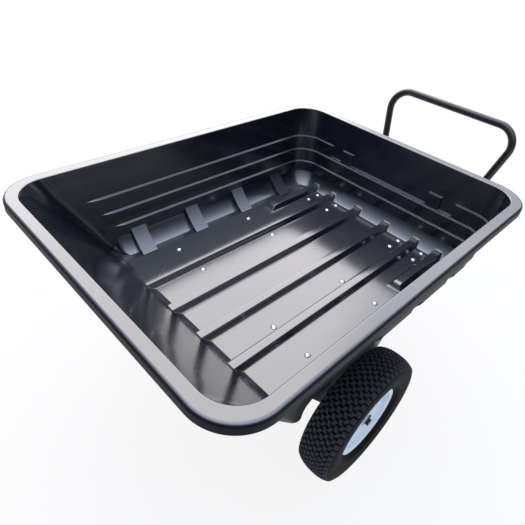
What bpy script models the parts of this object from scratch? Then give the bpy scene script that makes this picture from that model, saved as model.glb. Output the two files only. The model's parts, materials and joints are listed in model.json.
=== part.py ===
"""Garden tractor trailer: a moulded tub that tips on a two-wheel steel undercarriage.

The tail is at -X, the drawbar at +X and the left side at +Y. Measures are metres, +Z is up and
the ground is z = 0. Every piece is drawn with x = 0 under the middle of the tub's opening, and
one empty then carries the whole trailer, so that the world's origin lies on the ground under
the middle of its length.
"""
from math import acos, cos, pi, radians, sin, sqrt, tan

import bmesh
import bpy
from mathutils import Matrix, Vector

# Clearances
SEAT_GAP = 0.0003
HOLE_CLEARANCE = 0.0004
OVERLAP = 0.002

# Tub: the opening is measured at the inner edge of the rim
OPENING_LENGTH = 1.076
OPENING_WIDTH = 0.800
RIM_HEIGHT = 0.710
TUB_DEPTH = 0.278
TUB_WALL = 0.0035
RIM_OVERHANG = 0.032
RIM_EDGE_RADIUS = 0.008
RIM_LIP_RADIUS = 0.003
SKIRT_DROP = 0.025
OUTER_CORNER_RADIUS = 0.102
RIM_CORNER_RADIUS = 0.077
FLOOR_CORNER_RADIUS = 0.055
CORNER_STEPS = 8
SIDE_DRAFT = 0.074
FRONT_DRAFT = 0.024
TAIL_DRAFT = 0.77
LEDGE_DEPTHS = (0.101, 0.149, 0.194)
LEDGE_WIDTH = 0.0065
LEDGE_SLOPE = 0.0015
SIDE_COVE = (0.036, 0.062)
FRONT_COVE = (0.034, 0.050)
TAIL_COVE = (0.010, 0.0125)
COVE_SAG_SHARE = 0.14
COVE_STEPS = 5

# Raised forms moulded into the tub; a share is of half the opening's width
RIB_SHARES = (0.15, 0.45)
SHORT_RIB_SHARE = 0.66
RIB_HEIGHT = 0.0176
RIB_FOOT_WIDTH = 0.036
RIB_TOP_WIDTH = 0.026
SHORT_RIB_TAIL_X = 0.239
STRAP_COUNT = 4
STRAP_FIRST_X = -0.228
STRAP_SPACING = 0.195
STRAP_WIDTH = 0.040
STRAP_FOOT_REACH = 0.018
STRAP_SAG = 0.005

# Wheels; their middles keep a share of half the opening's width
TYRE_DIAMETER = 0.400
TYRE_WIDTH = 0.104
TYRE_SIDES = 40
WHEEL_SHARE = 0.96
AXLE_X = -0.022
RIM_FLANGE_DIAMETER = 0.221
RIM_WIDTH = 0.076
BEAD_DIAMETER = 0.203
RIM_SHEET = 0.0025
RIM_SIDES = 28
HUB_DIAMETER = 0.036
HUB_LENGTH = 0.056
BUSH_DIAMETER = 0.026
BUSH_LENGTH = 0.022
BUSH_FLANGE = 0.002
VALVE_DIAMETER = 0.007
VALVE_OFFSET = 0.0105
VALVE_FOOT_RADIUS = 0.095
VALVE_LENGTH = 0.032
ROUND_SIDES = 16
HUB_SIDES = 24

# Axle and its fittings
AXLE_DIAMETER = 0.020
AXLE_END_REACH = 0.042
WASHER_DIAMETER = 0.036
WASHER_THICKNESS = 0.003
COTTER_DIAMETER = 0.0036
COTTER_EYE_RADIUS = 0.0055
COTTER_LENGTH = 0.034

# Undercarriage; a share is of half the opening's width
RAIL_DIAMETER = 0.030
RAIL_SHARE = 0.435
RAIL_FRONT_X = 0.700
RAIL_BEND_X = 0.225
RAIL_BEND_RADIUS = 0.090
SLEEVE_DIAMETER = 0.034
SUPPORT_SHEET = 0.003
SUPPORT_INNER_SHARE = 0.3275
SUPPORT_OUTER_SHARE = 0.805
SUPPORT_LENGTH = 0.404
SUPPORT_SHOULDER = 0.030
SUPPORT_BOSS_RADIUS = 0.036
REST_PLATE = 0.004
REST_PLATE_LENGTH = 0.088
REST_PLATE_MARGIN = 0.022
REST_LUG_DROP = 0.038
CATCH_BAR_DIAMETER = 0.012
CATCH_BAR_DROP = 0.0205
CROSS_TUBE_DIAMETER = 0.025
REAR_CROSS_X = 0.290
FRONT_CROSS_X = 0.600
DRAWBAR_SIZE = 0.040
DRAWBAR_SHEET = 0.003
DRAWBAR_REAR_X = 0.250
DRAWBAR_FRONT_X = 0.960

# Floor bolts: four hold each axle support and four each rest plate
SUPPORT_BOLT_MARGINS = (0.072, 0.043)
SUPPORT_BOLT_SHARES = (0.366, 0.66)
REST_BOLT_X = (0.410, 0.462)
REST_BOLT_SHARES = (0.341, 0.564)
BOLT_DIAMETER = 0.008
BOLT_HEAD_DIAMETER = 0.0154
BOLT_HEAD_HEIGHT = 0.0042
NUT_DIAMETER = 0.0130
NUT_HEIGHT = 0.0065
BOLT_TAIL = 0.003
BOLT_SIDES = 8
BOLT_END_THICKNESS = 0.0065

# Hitch
CLEVIS_SHEET = 0.005
CLEVIS_WIDTH = 0.050
CLEVIS_REAR_X = 0.885
CLEVIS_FRONT_X = 1.015
HITCH_PIN_X = 0.985
HITCH_PIN_DIAMETER = 0.0158
HITCH_PIN_STAND = 0.030
HITCH_PIN_TAIL = 0.020
PIN_RING_RADIUS = 0.016
PIN_RING_WIRE = 0.003

# Push handle
HANDLE_DIAMETER = 0.026
HANDLE_BAR_X = 0.885
HANDLE_BAR_HEIGHT = 0.769
HANDLE_BAR_SHARE = 0.649
HANDLE_FOOT_X = 0.8045
HANDLE_TOP_RADIUS = 0.067
HANDLE_FOOT_RADIUS = 0.050
PLUG_LENGTH = 0.070
SOCKET_CLEARANCE = 0.0006
HANDLE_BOLT_BACK = 0.035

# Tipping latch: the lever is drawn hooked over the catch bar, then swung open
LATCH_BAR_LEAD = 0.001
LATCH_SHEET = 0.006
LATCH_STANDOFF = 0.012
LATCH_OPEN_ANGLE = radians(25)
LATCH_ARM_LENGTH = 0.215
LATCH_ARM_HALF = 0.008
LATCH_BOSS_RADIUS = 0.015
LATCH_HOOK_HEIGHT = 0.0468
LATCH_POST_DEPTH = 0.014
GRIP_LENGTH = 0.068
GRIP_HEIGHT = 0.024
GRIP_WIDTH = 0.019

# Parking stand
STAND_PIVOT_X = 0.700
STAND_BAR_DIAMETER = 0.016
STAND_HALF_WIDTH = 0.060
STAND_RAKE = 0.040
STAND_BEND_RADIUS = 0.028
STAND_SLEEVE_DIAMETER = 0.024
STAND_BOLT_DIAMETER = 0.010
STAND_BRACKET_SHEET = 0.004
STAND_BRACKET_LENGTH = 0.044
STAND_STOP_DROP = 0.036
FOOT_LENGTH = 0.052
FOOT_WIDTH = 0.150
FOOT_SHEET = 0.004

# Places that follow from the sizes above
HALF_LENGTH = OPENING_LENGTH / 2
HALF_WIDTH = OPENING_WIDTH / 2
RIB_CENTRES = [share * HALF_WIDTH for share in RIB_SHARES]
SHORT_RIB_CENTRE = SHORT_RIB_SHARE * HALF_WIDTH
RAIL_Y = RAIL_SHARE * HALF_WIDTH
WHEEL_Y = WHEEL_SHARE * HALF_WIDTH
HANDLE_BAR_HALF = HANDLE_BAR_SHARE * HALF_WIDTH
SUPPORT_INNER_Y = SUPPORT_INNER_SHARE * HALF_WIDTH
SUPPORT_OUTER_Y = SUPPORT_OUTER_SHARE * HALF_WIDTH
SUPPORT_BOLT_Y = [share * HALF_WIDTH for share in SUPPORT_BOLT_SHARES]
REST_BOLT_Y = [share * HALF_WIDTH for share in REST_BOLT_SHARES]
FLOOR_Z = RIM_HEIGHT - TUB_DEPTH
UNDERSIDE_Z = FLOOR_Z - TUB_WALL
AXLE_Z = TYRE_DIAMETER / 2 * cos(pi / TYRE_SIDES)
SUPPORT_BOLT_X = (
    AXLE_X - SUPPORT_LENGTH / 2 + SUPPORT_BOLT_MARGINS[0],
    AXLE_X + SUPPORT_LENGTH / 2 - SUPPORT_BOLT_MARGINS[1],
)
RAIL_Z = UNDERSIDE_Z - REST_PLATE - RAIL_DIAMETER / 2 - 2 * SEAT_GAP
DRAWBAR_Z = RAIL_Z - CROSS_TUBE_DIAMETER / 2 - DRAWBAR_SIZE / 2 - SEAT_GAP
DRAWBAR_BOTTOM_Z = DRAWBAR_Z - DRAWBAR_SIZE / 2
CATCH_BAR_X = sum(REST_BOLT_X) / 2
LATCH_PIVOT_X = CATCH_BAR_X - LATCH_BAR_LEAD
CATCH_BAR_Z = UNDERSIDE_Z - CATCH_BAR_DROP
STAND_PIVOT_Z = (
    DRAWBAR_BOTTOM_Z - STAND_BRACKET_SHEET - STAND_SLEEVE_DIAMETER / 2 - OVERLAP
)
CLEVIS_TOP_Z = DRAWBAR_Z + DRAWBAR_SIZE / 2 + CLEVIS_SHEET + SEAT_GAP
CLEVIS_BOTTOM_Z = DRAWBAR_BOTTOM_Z - CLEVIS_SHEET - SEAT_GAP
BOX_CENTRE_X = (CLEVIS_FRONT_X - HALF_LENGTH - RIM_OVERHANG) / 2


def clear_scene():
    for item in list(bpy.data.objects):
        bpy.data.objects.remove(item, do_unlink=True)


def new_collection(name):
    collection = bpy.data.collections.new(name)
    bpy.context.scene.collection.children.link(collection)
    return collection


def paint(name, colour, roughness, metallic):
    material = bpy.data.materials.new(name)
    material.use_nodes = True
    shader = material.node_tree.nodes["Principled BSDF"]
    shader.inputs["Base Color"].default_value = (*colour, 1.0)
    shader.inputs["Roughness"].default_value = roughness
    shader.inputs["Metallic"].default_value = metallic
    material.diffuse_color = (*colour, 1.0)
    return material


def pivot(name, place, parent=None):
    """An empty that stands on a joint's axis and carries what turns or slides there."""
    empty = bpy.data.objects.new(name, None)
    empty.empty_display_size = 0.05
    PARTS.objects.link(empty)
    empty.location = place
    empty["place"] = place
    if parent is not None:
        empty.parent = parent
        empty.location = Vector(place) - Vector(parent["place"])
    return empty


def mesh_object(name, mesh):
    item = bpy.data.objects.new(name, mesh)
    PARTS.objects.link(item)
    return item


def from_bmesh(name, bm):
    mesh = bpy.data.meshes.new(name)
    bm.to_mesh(mesh)
    bm.free()
    return mesh_object(name, mesh)


def seat(item, material, carrier):
    """Gives a piece its material, hangs it on its carrier and moves its origin there."""
    item.data.materials.clear()
    item.data.materials.append(material)
    place = Vector(carrier["place"])
    item.data.transform(Matrix.Translation(item.location - place))
    item.location = (0, 0, 0)
    item.parent = carrier
    item.data.shade_smooth()
    item.data.set_sharp_from_angle(angle=radians(35))
    return item


def as_guide(item):
    """Keeps a cutter or a shape that is only joined to another piece out of the model."""
    PARTS.objects.unlink(item)
    CUTTERS.objects.link(item)
    item.hide_render = True
    item.display_type = "WIRE"
    item.parent = TRAILER
    return item


def combine(item, other, operation):
    boolean = item.modifiers.new(operation.lower(), "BOOLEAN")
    boolean.operation = operation
    boolean.solver = "EXACT"
    boolean.object = as_guide(other)
    return item


def box(name, low, high):
    bm = bmesh.new()
    bmesh.ops.create_cube(bm, size=1.0)
    size = Vector(high) - Vector(low)
    bmesh.ops.scale(bm, vec=size, verts=bm.verts)
    bmesh.ops.translate(bm, vec=(Vector(high) + Vector(low)) / 2, verts=bm.verts)
    return from_bmesh(name, bm)


AXIS_TURN = {
    "X": Matrix.Rotation(pi / 2, 4, "Y"),
    "Y": Matrix.Rotation(-pi / 2, 4, "X"),
    "Z": Matrix.Identity(4),
}


def add_rod(bm, start, end_shift, radius, axis, sides):
    """Adds a closed cylinder from start, running end_shift along axis."""
    turn = AXIS_TURN[axis]
    middle = Vector(start) + turn @ Vector((0, 0, end_shift / 2))
    bmesh.ops.create_cone(
        bm,
        cap_ends=True,
        segments=sides,
        radius1=radius,
        radius2=radius,
        depth=abs(end_shift),
        matrix=Matrix.Translation(middle) @ turn @ Matrix.Rotation(pi / sides, 4, "Z"),
    )


def rod(name, start, length, radius, axis, sides=ROUND_SIDES):
    bm = bmesh.new()
    add_rod(bm, start, length, radius, axis, sides)
    return from_bmesh(name, bm)


def rods(name, starts, length, radius, axis, sides=ROUND_SIDES):
    """Several like cylinders in one mesh, for rows of holes."""
    bm = bmesh.new()
    for start in starts:
        add_rod(bm, start, length, radius, axis, sides)
    return from_bmesh(name, bm)


def turned(name, profile, place, axis, sides, closed):
    """Turns a profile of (radius, height) about its own axis with a Screw modifier.

    The profile starts half a step round, so that a flat lies at the bottom of a wheel."""
    half_step = pi / sides
    points = [(r * cos(half_step), r * sin(half_step), h) for r, h in profile]
    edges = [(i, i + 1) for i in range(len(points) - 1)]
    if closed:
        edges.append((len(points) - 1, 0))
    mesh = bpy.data.meshes.new(name)
    mesh.from_pydata(points, edges, [])
    item = mesh_object(name, mesh)
    screw = item.modifiers.new("turn", "SCREW")
    screw.axis = "Z"
    screw.steps = sides
    screw.render_steps = sides
    screw.use_merge_vertices = True
    screw.merge_threshold = 0.00005
    return make_mesh(item, Matrix.Translation(place) @ AXIS_TURN[axis])


def make_mesh(item, matrix):
    """Replaces a curve or a turned profile by its own mesh, welded and set in place."""
    bpy.context.view_layer.update()
    evaluated = item.evaluated_get(bpy.context.evaluated_depsgraph_get())
    mesh = bpy.data.meshes.new_from_object(evaluated)
    name = item.name
    bpy.data.objects.remove(item, do_unlink=True)
    bm = bmesh.new()
    bm.from_mesh(mesh)
    bmesh.ops.remove_doubles(bm, verts=bm.verts, dist=0.00002)
    bmesh.ops.recalc_face_normals(bm, faces=bm.faces)
    bmesh.ops.transform(bm, matrix=matrix, verts=bm.verts)
    return from_bmesh(name, bm)


def tube(name, path, radius, resolution=2):
    """A round bar or tube along a path of points, with filled ends."""
    data = bpy.data.curves.new(name, "CURVE")
    data.dimensions = "3D"
    data.bevel_depth = radius
    data.bevel_resolution = resolution
    data.use_fill_caps = True
    spline = data.splines.new("POLY")
    spline.points.add(len(path) - 1)
    for point, place in zip(spline.points, path):
        point.co = (*place, 1)
    item = bpy.data.objects.new(name, data)
    PARTS.objects.link(item)
    return make_mesh(item, Matrix.Identity(4))


PLANE_TURN = {
    "XZ": Matrix.Rotation(pi / 2, 4, "X"),
    "YZ": Matrix.Rotation(pi / 2, 4, "Z") @ Matrix.Rotation(pi / 2, 4, "X"),
}


def plate(name, outline, thickness, plane, middle):
    """A flat outline given in a world plane, as thick as stated about its middle."""
    data = bpy.data.curves.new(name, "CURVE")
    data.dimensions = "2D"
    data.fill_mode = "BOTH"
    data.extrude = thickness / 2
    spline = data.splines.new("POLY")
    spline.points.add(len(outline) - 1)
    for point, (across, up) in zip(spline.points, outline):
        point.co = (across, up, 0, 1)
    spline.use_cyclic_u = True
    item = bpy.data.objects.new(name, data)
    PARTS.objects.link(item)
    shift = (0, middle, 0) if plane == "XZ" else (middle, 0, 0)
    return make_mesh(item, Matrix.Translation(shift) @ PLANE_TURN[plane])


def rounded_path(corners, radii, steps=6):
    """Runs through the corners with an arc of its own radius at each inner one."""
    corners = [Vector(c) for c in corners]
    path = [corners[0]]
    for before, corner, after, radius in zip(corners, corners[1:], corners[2:], radii):
        back = (before - corner).normalized()
        ahead = (after - corner).normalized()
        half = acos(max(-1.0, min(1.0, back.dot(ahead)))) / 2
        reach = radius / tan(half)
        centre = corner + (back + ahead).normalized() * (radius / sin(half))
        start = corner + back * reach - centre
        end = corner + ahead * reach - centre
        sweep = start.angle(end)
        for step in range(steps + 1):
            share = step / steps
            weight = sin((1 - share) * sweep), sin(share * sweep)
            path.append(centre + (start * weight[0] + end * weight[1]) / sin(sweep))
    path.append(corners[-1])
    return path


def arc(centre, radius, start, end, steps):
    """Points on an arc between two angles in degrees, in a plane."""
    angles = [radians(start + (end - start) * i / steps) for i in range(steps + 1)]
    return [(centre[0] + radius * cos(a), centre[1] + radius * sin(a)) for a in angles]


def cove_inset(depth, cove):
    """How far the slope at a wall's foot has moved in at a depth; the slope is a little hollow."""
    width, height = cove
    share = (depth - (TUB_DEPTH - height)) / height
    share = max(0.0, min(1.0, share))
    return width * (share - COVE_SAG_SHARE * 4 * share * (1 - share))


def ledge_inset(depth):
    """The walls step in by one ledge at each of the ledge depths."""
    total = 0.0
    for ledge in LEDGE_DEPTHS:
        total += LEDGE_WIDTH * max(0.0, min(1.0, (depth - ledge) / LEDGE_SLOPE))
    return total


def side_inset(depth):
    return SIDE_DRAFT * depth + ledge_inset(depth) + cove_inset(depth, SIDE_COVE)


def front_inset(depth):
    return FRONT_DRAFT * depth + ledge_inset(depth) + cove_inset(depth, FRONT_COVE)


def tail_inset(depth):
    return TAIL_DRAFT * depth + cove_inset(depth, TAIL_COVE)


def rounded_ring(tail_x, front_x, half_width, radius, z):
    """A rectangle with round corners, seen from above, anticlockwise."""
    centres = (
        (front_x - radius, half_width - radius, 0),
        (tail_x + radius, half_width - radius, 90),
        (tail_x + radius, radius - half_width, 180),
        (front_x - radius, radius - half_width, 270),
    )
    ring = []
    for x, y, start in centres:
        ring += [(*p, z) for p in arc((x, y), radius, start, start + 90, CORNER_STEPS)]
    return ring


def rim_rings():
    """From the foot of the skirt up, over the flat rim and to its inner edge."""
    outline = [(RIM_OVERHANG, -SKIRT_DROP)]
    edge = (RIM_OVERHANG - RIM_EDGE_RADIUS, -RIM_EDGE_RADIUS)
    outline += arc(edge, RIM_EDGE_RADIUS, 0, 90, 3)
    lip = (RIM_LIP_RADIUS, -RIM_LIP_RADIUS)
    outline += arc(lip, RIM_LIP_RADIUS, 90, 180, 2)
    corner_growth = (OUTER_CORNER_RADIUS - RIM_CORNER_RADIUS) / RIM_OVERHANG
    return [
        rounded_ring(
            -HALF_LENGTH - out,
            HALF_LENGTH + out,
            HALF_WIDTH + out,
            RIM_CORNER_RADIUS + corner_growth * out,
            RIM_HEIGHT + drop,
        )
        for out, drop in outline
    ]


def wall_depths():
    """The depths at which the inside changes slope: each ledge, then down the cove."""
    depths = []
    for ledge in LEDGE_DEPTHS:
        depths += [ledge, ledge + LEDGE_SLOPE]
    tallest = max(SIDE_COVE[1], FRONT_COVE[1], TAIL_COVE[1])
    for step in range(COVE_STEPS + 1):
        depths.append(TUB_DEPTH - tallest * (1 - step / COVE_STEPS))
    return depths


def wall_ring(depth, out):
    """The inside of the tub at a depth, moved out by a part of the wall's thickness."""
    share = depth / TUB_DEPTH
    radius = RIM_CORNER_RADIUS + (FLOOR_CORNER_RADIUS - RIM_CORNER_RADIUS) * share
    return rounded_ring(
        -HALF_LENGTH + tail_inset(depth) - out,
        HALF_LENGTH - front_inset(depth) + out,
        HALF_WIDTH - side_inset(depth) + out,
        radius + out,
        RIM_HEIGHT - depth,
    )


def loft(bm, rings):
    """Joins rings of equal count with four-sided faces that face inward and up."""
    loops = [[bm.verts.new(p) for p in ring] for ring in rings]
    for outer, inner in zip(loops, loops[1:]):
        for i in range(len(outer)):
            j = (i + 1) % len(outer)
            bm.faces.new((outer[i], outer[j], inner[j], inner[i]))
    return loops


def rib_shape(bm, centre, tail_x):
    """One floor rib with sloping sides, running into the walls where it ends."""
    corners = bmesh.ops.create_cube(bm, size=2.0)["verts"]
    for corner in corners:
        x, y, z = corner.co
        half = RIB_TOP_WIDTH / 2 if z > 0 else RIB_FOOT_WIDTH / 2
        height = RIB_HEIGHT if z > 0 else -OVERLAP / 2
        corner.co = (HALF_LENGTH if x > 0 else tail_x, centre + y * half, FLOOR_Z + height)


def strap_outline(side):
    """A strap across the foot of a side wall: a shallow hollow from wall to floor."""
    top_depth = TUB_DEPTH - SIDE_COVE[1]
    foot = (HALF_WIDTH - side_inset(TUB_DEPTH) - STRAP_FOOT_REACH, FLOOR_Z)
    top = (HALF_WIDTH - side_inset(top_depth) + OVERLAP, RIM_HEIGHT - top_depth)
    outline = [(foot[0], FLOOR_Z - OVERLAP)]
    for step in range(5):
        share = step / 4
        sag = STRAP_SAG * 4 * share * (1 - share)
        y = foot[0] + (top[0] - foot[0]) * share + sag
        z = foot[1] + (top[1] - foot[1]) * share - sag
        outline.append((y, z))
    outline += [(HALF_WIDTH, top[1]), (HALF_WIDTH, FLOOR_Z - OVERLAP)]
    return [(side * y, z) for y, z in outline]


def raised_forms():
    """Ribs and straps, trimmed to end half way through the tub's wall."""
    bm = bmesh.new()
    for side in (-1, 1):
        for centre in RIB_CENTRES:
            rib_shape(bm, side * centre, -HALF_LENGTH)
        rib_shape(bm, side * SHORT_RIB_CENTRE, SHORT_RIB_TAIL_X)
        for index in range(STRAP_COUNT):
            x = STRAP_FIRST_X + STRAP_SPACING * index
            strap = plate("strap", strap_outline(side), STRAP_WIDTH, "YZ", x)
            bm.from_mesh(strap.data)
            bpy.data.objects.remove(strap, do_unlink=True)
    forms = from_bmesh("raised_forms", bm)
    half_wall = TUB_WALL / 2
    rings = [wall_ring(depth, half_wall) for depth in [0.0, *wall_depths()]]
    floor_ring = [(x, y, FLOOR_Z - half_wall) for x, y, z in rings[-1]]
    bm = bmesh.new()
    loops = loft(bm, [*rings, floor_ring])
    bm.faces.new(loops[0][::-1])
    bm.faces.new(loops[-1])
    bmesh.ops.recalc_face_normals(bm, faces=bm.faces)
    return combine(forms, from_bmesh("trim_space", bm), "INTERSECT")


def make_tub(carrier, material):
    bm = bmesh.new()
    loops = loft(bm, rim_rings() + [wall_ring(depth, 0.0) for depth in wall_depths()])
    bm.faces.new(loops[-1])
    tub = from_bmesh("tub", bm)
    shell = tub.modifiers.new("shell", "SOLIDIFY")
    shell.thickness = TUB_WALL
    shell.offset = -1
    shell.use_even_offset = True
    combine(tub, raised_forms(), "UNION")
    starts = [(x, y, FLOOR_Z - 2 * TUB_WALL) for x, y in floor_bolt_places()]
    hole = BOLT_DIAMETER / 2 + HOLE_CLEARANCE
    combine(tub, rods("floor_holes", starts, 4 * TUB_WALL, hole, "Z", BOLT_SIDES), "DIFFERENCE")
    return seat(tub, material, carrier)


def bolt_grid(xs, ys, side):
    return [(x, side * y) for x in xs for y in ys]


def floor_bolt_places():
    places = []
    for side in (-1, 1):
        places += bolt_grid(SUPPORT_BOLT_X, SUPPORT_BOLT_Y, side)
        places += bolt_grid(REST_BOLT_X, REST_BOLT_Y, side)
    return places


def bolt_profile(head_height, head_diameter, grip):
    """A dome-headed bolt with its nut, from the crown of the head down."""
    shank = BOLT_DIAMETER / 2
    nut_top = -grip - SEAT_GAP
    nut_foot = nut_top - NUT_HEIGHT
    return [
        (0, head_height),
        (0.70 * head_diameter / 2, 0.66 * head_height),
        (head_diameter / 2, 0),
        (shank, 0),
        (shank, nut_top),
        (NUT_DIAMETER / 2, nut_top),
        (NUT_DIAMETER / 2, nut_foot),
        (shank, nut_foot),
        (shank, nut_foot - BOLT_TAIL),
        (0, nut_foot - BOLT_TAIL),
    ]


def make_bolt(name, place, grip, carrier, material):
    profile = bolt_profile(BOLT_HEAD_HEIGHT, BOLT_HEAD_DIAMETER, grip)
    bolt = turned(name, profile, place, "Z", BOLT_SIDES, closed=False)
    return seat(bolt, material, carrier)


def make_floor_bolts(carrier, material):
    head_z = FLOOR_Z + SEAT_GAP
    groups = (
        ("support_bolt", SUPPORT_BOLT_X, SUPPORT_BOLT_Y, SUPPORT_SHEET),
        ("rest_bolt", REST_BOLT_X, REST_BOLT_Y, REST_PLATE),
    )
    for name, xs, ys, sheet in groups:
        grip = head_z - UNDERSIDE_Z + sheet + SEAT_GAP
        for side, side_name in ((1, "left"), (-1, "right")):
            for number, (x, y) in enumerate(bolt_grid(xs, ys, side), start=1):
                title = f"{name}_{side_name}_{number}"
                make_bolt(title, (x, y, head_z), grip, carrier, material)


def folded_channel(inner_y, outer_y, top_z, foot_z, sheet):
    """The section of a sheet folded down at both sides, seen along X."""
    return [
        (inner_y, foot_z),
        (inner_y, top_z - sheet),
        (inner_y + sheet, top_z),
        (outer_y - sheet, top_z),
        (outer_y, top_z - sheet),
        (outer_y, foot_z),
        (outer_y - sheet, foot_z),
        (outer_y - sheet, top_z - 2 * sheet),
        (outer_y - 2 * sheet, top_z - sheet),
        (inner_y + 2 * sheet, top_z - sheet),
        (inner_y + sheet, top_z - 2 * sheet),
        (inner_y + sheet, foot_z),
    ]


def make_axle_support(side, side_name, carrier, material):
    """A sheet saddle under the floor whose two cheeks narrow down to the axle."""
    top_z = UNDERSIDE_Z - SEAT_GAP
    foot_z = AXLE_Z - SUPPORT_BOSS_RADIUS - OVERLAP
    section = folded_channel(SUPPORT_INNER_Y, SUPPORT_OUTER_Y, top_z, foot_z, SUPPORT_SHEET)
    section = [(side * y, z) for y, z in section]
    support = plate(f"axle_support_{side_name}", section, SUPPORT_LENGTH, "YZ", AXLE_X)
    half = SUPPORT_LENGTH / 2 - OVERLAP
    shoulder_z = top_z - SUPPORT_SHOULDER
    outline = [
        (AXLE_X + half, top_z + OVERLAP),
        (AXLE_X - half, top_z + OVERLAP),
        (AXLE_X - half, shoulder_z),
        *arc((AXLE_X, AXLE_Z), SUPPORT_BOSS_RADIUS, 205, 335, 8),
        (AXLE_X + half, shoulder_z),
    ]
    middle = side * (SUPPORT_INNER_Y + SUPPORT_OUTER_Y) / 2
    width = SUPPORT_OUTER_Y - SUPPORT_INNER_Y + 2 * OVERLAP
    combine(support, plate("cheek_trim", outline, width, "XZ", middle), "INTERSECT")
    bore = AXLE_DIAMETER / 2 + HOLE_CLEARANCE
    start = (AXLE_X, middle - width / 2, AXLE_Z)
    combine(support, rod("support_bore", start, width, bore, "Y", 24), "DIFFERENCE")
    hole = BOLT_DIAMETER / 2 + HOLE_CLEARANCE
    starts = [
        (x, y, top_z - 2 * SUPPORT_SHEET)
        for x, y in bolt_grid(SUPPORT_BOLT_X, SUPPORT_BOLT_Y, side)
    ]
    holes = rods("support_holes", starts, 4 * SUPPORT_SHEET, hole, "Z", BOLT_SIDES)
    combine(support, holes, "DIFFERENCE")
    return seat(support, material, carrier)


def make_rest_plate(side, side_name, carrier, material):
    """The angle plate that carries the front of the floor and holds the catch bar."""
    top_z = UNDERSIDE_Z - SEAT_GAP
    inner = REST_BOLT_Y[0] - REST_PLATE_MARGIN
    outer = REST_BOLT_Y[1] + REST_PLATE_MARGIN
    section = [
        (inner, top_z - REST_LUG_DROP),
        (inner, top_z),
        (outer, top_z),
        (outer, top_z - REST_PLATE),
        (inner + REST_PLATE, top_z - REST_PLATE),
        (inner + REST_PLATE, top_z - REST_LUG_DROP),
    ]
    section = [(side * y, z) for y, z in section]
    middle = sum(REST_BOLT_X) / 2
    rest = plate(f"rest_plate_{side_name}", section, REST_PLATE_LENGTH, "YZ", middle)
    hole = BOLT_DIAMETER / 2 + HOLE_CLEARANCE
    starts = [
        (x, y, top_z - 2 * REST_PLATE) for x, y in bolt_grid(REST_BOLT_X, REST_BOLT_Y, side)
    ]
    holes = rods("rest_holes", starts, 4 * REST_PLATE, hole, "Z", BOLT_SIDES)
    combine(rest, holes, "DIFFERENCE")
    bar = CATCH_BAR_DIAMETER / 2 + HOLE_CLEARANCE
    start = (CATCH_BAR_X, side * (inner + REST_PLATE / 2) - 2 * REST_PLATE, CATCH_BAR_Z)
    combine(rest, rod("bar_hole", start, 4 * REST_PLATE, bar, "Y"), "DIFFERENCE")
    return seat(rest, material, carrier)


def make_catch_bar(carrier, material):
    half = REST_BOLT_Y[0] - REST_PLATE_MARGIN + 2 * REST_PLATE
    start = (CATCH_BAR_X, -half, CATCH_BAR_Z)
    bar = rod("catch_bar", start, 2 * half, CATCH_BAR_DIAMETER / 2, "Y")
    return seat(bar, material, carrier)


def make_frame_rail(side, side_name, carrier, material):
    """A bent tube from its sleeve on the axle to the socket for the handle."""
    corners = [
        (AXLE_X, side * RAIL_Y, AXLE_Z),
        (RAIL_BEND_X, side * RAIL_Y, RAIL_Z),
        (RAIL_FRONT_X, side * RAIL_Y, RAIL_Z),
    ]
    path = rounded_path(corners, [RAIL_BEND_RADIUS], steps=5)
    rail = tube(f"frame_rail_{side_name}", path, RAIL_DIAMETER / 2, resolution=4)
    cheek = SUPPORT_SHEET + SEAT_GAP
    inner = SUPPORT_INNER_Y + cheek
    outer = SUPPORT_OUTER_Y - cheek
    low = inner if side > 0 else -outer
    sleeve = rod(
        "sleeve", (AXLE_X, low, AXLE_Z), outer - inner, SLEEVE_DIAMETER / 2, "Y", 20
    )
    combine(rail, sleeve, "UNION")
    bore = AXLE_DIAMETER / 2 + HOLE_CLEARANCE
    start = (AXLE_X, low - OVERLAP, AXLE_Z)
    length = outer - inner + 2 * OVERLAP
    combine(rail, rod("sleeve_bore", start, length, bore, "Y", 24), "DIFFERENCE")
    socket_start = (RAIL_FRONT_X - PLUG_LENGTH - OVERLAP, side * RAIL_Y, RAIL_Z)
    socket_radius = HANDLE_DIAMETER / 2 + SOCKET_CLEARANCE
    socket = rod("socket", socket_start, PLUG_LENGTH + 3 * OVERLAP, socket_radius, "X")
    combine(rail, socket, "DIFFERENCE")
    combine(rail, handle_bolt_hole(side), "DIFFERENCE")
    return seat(rail, material, carrier)


def handle_bolt_hole(side):
    start = (RAIL_FRONT_X - HANDLE_BOLT_BACK, side * RAIL_Y, RAIL_Z - RAIL_DIAMETER)
    radius = BOLT_DIAMETER / 2 + HOLE_CLEARANCE
    return rod("handle_bolt_hole", start, 2 * RAIL_DIAMETER, radius, "Z", BOLT_SIDES)


def make_handle(carrier, material):
    """The push handle: one bent tube whose two ends plug into the rails."""
    plug_x = RAIL_FRONT_X - PLUG_LENGTH
    half_path = [
        (plug_x, RAIL_Y, RAIL_Z),
        (HANDLE_FOOT_X, RAIL_Y, RAIL_Z),
        (HANDLE_BAR_X, HANDLE_BAR_HALF, HANDLE_BAR_HEIGHT),
    ]
    corners = half_path + [(x, -y, z) for x, y, z in reversed(half_path)]
    radii = [HANDLE_FOOT_RADIUS, HANDLE_TOP_RADIUS, HANDLE_TOP_RADIUS, HANDLE_FOOT_RADIUS]
    handle = tube("handle", rounded_path(corners, radii), HANDLE_DIAMETER / 2, resolution=3)
    for side in (-1, 1):
        combine(handle, handle_bolt_hole(side), "DIFFERENCE")
    return seat(handle, material, carrier)


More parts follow.
